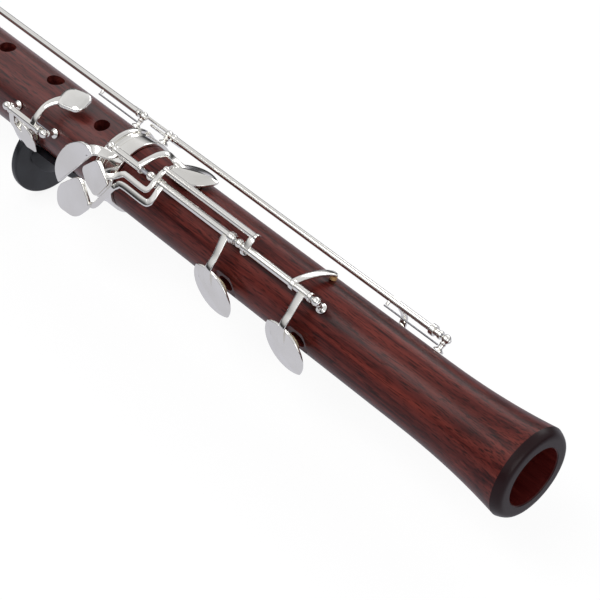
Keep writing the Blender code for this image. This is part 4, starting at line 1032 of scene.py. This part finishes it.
class RECORDER_OT_keys(bpy.types.Operator):
    """Make the keys with their cups and pads"""
    bl_idname = "recorder.keys"
    bl_label = "Make the keys"

    def execute(self, context):
        make_sharp_key()
        make_d_sharp_key()
        make_low_c_key()
        make_low_b_key()
        make_left_keys()
        return {"FINISHED"}


class RECORDER_OT_small_parts(bpy.types.Operator):
    """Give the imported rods, springs, screws and corks their materials"""
    bl_idname = "recorder.small_parts"
    bl_label = "Finish the small parts"

    def execute(self, context):
        kinds = {"rod": "steel", "spring": "steel", "screw": "steel", "cork": "cork"}
        for name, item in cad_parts.items():
            for word, material in kinds.items():
                if word in name:
                    item.data.materials.clear()
                    item.data.materials.append(material_for(material))
                    item.data.shade_smooth()
        return {"FINISHED"}


class RECORDER_OT_stage(bpy.types.Operator):
    """Set up the floor, the soft lights, the white background and the camera"""
    bl_idname = "recorder.stage"
    bl_label = "Set the stage"

    def execute(self, context):
        scene = context.scene
        look = scene.recorder_look
        half = 3.0
        rings = np.array([[(x, y, z) for x, y in ((-half, -half), (half, -half), (half, half), (-half, half))]
                          for z in (look.floor_level - 0.01, look.floor_level)])
        floor = make_object("studio_floor", [skin(rings)])
        material, shader, links = new_material("White_studio_card")
        shader.inputs["Base Color"].default_value = (0.9, 0.9, 0.9, 1)
        shader.inputs["Roughness"].default_value = 0.9
        shader.inputs["Specular IOR Level"].default_value = 0.0
        glow = add_node(material, "ShaderNodeEmission")
        glow.inputs["Strength"].default_value = 1.02
        path = add_node(material, "ShaderNodeLightPath")
        share = add_node(material, "ShaderNodeMath", operation="MULTIPLY")
        share.inputs[1].default_value = 0.86
        mix = add_node(material, "ShaderNodeMixShader")
        links.new(path.outputs["Is Camera Ray"], share.inputs[0])
        links.new(share.outputs[0], mix.inputs[0])
        links.new(shader.outputs[0], mix.inputs[1])
        links.new(glow.outputs[0], mix.inputs[2])
        mirrored = add_node(material, "ShaderNodeEmission")
        mirrored.inputs["Color"].default_value = (0.62, 0.62, 0.68, 1)
        mirrored.inputs["Strength"].default_value = 0.95
        in_mirror = add_node(material, "ShaderNodeMixShader")
        links.new(path.outputs["Is Glossy Ray"], in_mirror.inputs[0])
        links.new(mix.outputs[0], in_mirror.inputs[1])
        links.new(mirrored.outputs[0], in_mirror.inputs[2])
        links.new(in_mirror.outputs[0], material.node_tree.nodes["Material Output"].inputs["Surface"])
        floor.data.materials.append(material)
        world = bpy.data.worlds.new("Pale_studio")
        scene.world = world
        world.use_nodes = True
        tree = world.node_tree
        surround = tree.nodes["Background"]
        surround.inputs["Strength"].default_value = 1.0
        direction = tree.nodes.new("ShaderNodeTexCoord")
        height = tree.nodes.new("ShaderNodeSeparateXYZ")
        sky = tree.nodes.new("ShaderNodeValToRGB")
        stops = [(0.0, 0.02), (0.16, 0.05), (0.30, 0.45), (0.5, 0.82), (1.0, 0.6)]
        while len(sky.color_ramp.elements) < len(stops):
            sky.color_ramp.elements.new(0.5)
        for element, (position, value) in zip(sky.color_ramp.elements, stops):
            element.position = position
            element.color = (value, value, value * 1.02, 1)
        tree.links.new(direction.outputs["Generated"], height.inputs[0])
        tree.links.new(height.outputs["Z"], sky.inputs["Fac"])
        tree.links.new(sky.outputs["Color"], surround.inputs["Color"])
        white = tree.nodes.new("ShaderNodeBackground")
        white.inputs["Color"].default_value = (1, 1, 1, 1)
        white.inputs["Strength"].default_value = 1.0
        seen = tree.nodes.new("ShaderNodeLightPath")
        choose = tree.nodes.new("ShaderNodeMixShader")
        tree.links.new(seen.outputs["Is Camera Ray"], choose.inputs[0])
        tree.links.new(surround.outputs[0], choose.inputs[1])
        tree.links.new(white.outputs[0], choose.inputs[2])
        tree.links.new(choose.outputs[0], tree.nodes["World Output"].inputs["Surface"])
        target = Vector((-0.18, 0, 0))
        lights = [("Key", (-0.35, -0.55, 0.95), (0.9, 0.45), look.key_light),
                  ("Fill", (0.75, -0.35, 0.35), (0.5, 0.5), look.key_light * 0.25),
                  ("Back", (-0.3, 0.9, 0.7), (1.0, 0.35), look.key_light * 0.6)]
        for name, place, size, power in lights:
            lamp = bpy.data.lights.new(name, "AREA")
            lamp.shape = "RECTANGLE"
            lamp.size, lamp.size_y = size
            lamp.energy = power
            holder = bpy.data.objects.new(name, lamp)
            holder.location = place
            holder.rotation_euler = (target - Vector(place)).to_track_quat("-Z", "Y").to_euler()
            scene.collection.objects.link(holder)
        camera = bpy.data.cameras.new("Camera")
        camera.lens = CAMERA_LENS
        camera.sensor_width = 36.0
        camera.clip_start = 0.01
        camera.clip_end = 20.0
        holder = bpy.data.objects.new("Camera", camera)
        right, down, ahead = Vector(CAMERA_RIGHT), Vector(CAMERA_DOWN), Vector(CAMERA_AHEAD)
        turn = Matrix((right, -down, -ahead)).transposed().to_4x4()
        holder.matrix_world = Matrix.Translation(CAMERA_PLACE) @ turn
        scene.collection.objects.link(holder)
        scene.camera = holder
        scene.view_settings.view_transform = "Standard"
        return {"FINISHED"}


STEPS = (RECORDER_OT_body, RECORDER_OT_rings, RECORDER_OT_thumb_rest, RECORDER_OT_posts, RECORDER_OT_keys,
         RECORDER_OT_small_parts, RECORDER_OT_stage)


class RECORDER_PT_panel(bpy.types.Panel):
    """Lists the recorder's steps and colours"""
    bl_idname = "RECORDER_PT_panel"
    bl_label = "Recorder"
    bl_space_type = "VIEW_3D"
    bl_region_type = "UI"
    bl_category = "Recorder"

    def draw(self, context):
        for name in ("wood_colour", "streak_colour", "silver_colour", "rest_colour", "key_light", "floor_level"):
            self.layout.prop(context.scene.recorder_look, name)
        for step in STEPS:
            self.layout.operator(step.bl_idname)


CLASSES = (RecorderLook, *STEPS, RECORDER_PT_panel)


def register():
    """Register the classes and the look's settings."""
    for item in CLASSES:
        bpy.utils.register_class(item)
    bpy.types.Scene.recorder_look = bpy.props.PointerProperty(type=RecorderLook)


def unregister():
    """Undo register."""
    del bpy.types.Scene.recorder_look
    for item in reversed(CLASSES):
        bpy.utils.unregister_class(item)


def main():
    """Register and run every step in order."""
    register()
    bpy.ops.recorder.body()
    bpy.ops.recorder.rings()
    bpy.ops.recorder.thumb_rest()
    bpy.ops.recorder.posts()
    bpy.ops.recorder.keys()
    bpy.ops.recorder.small_parts()
    bpy.ops.recorder.stage()


if __name__ == "__main__":
    main()
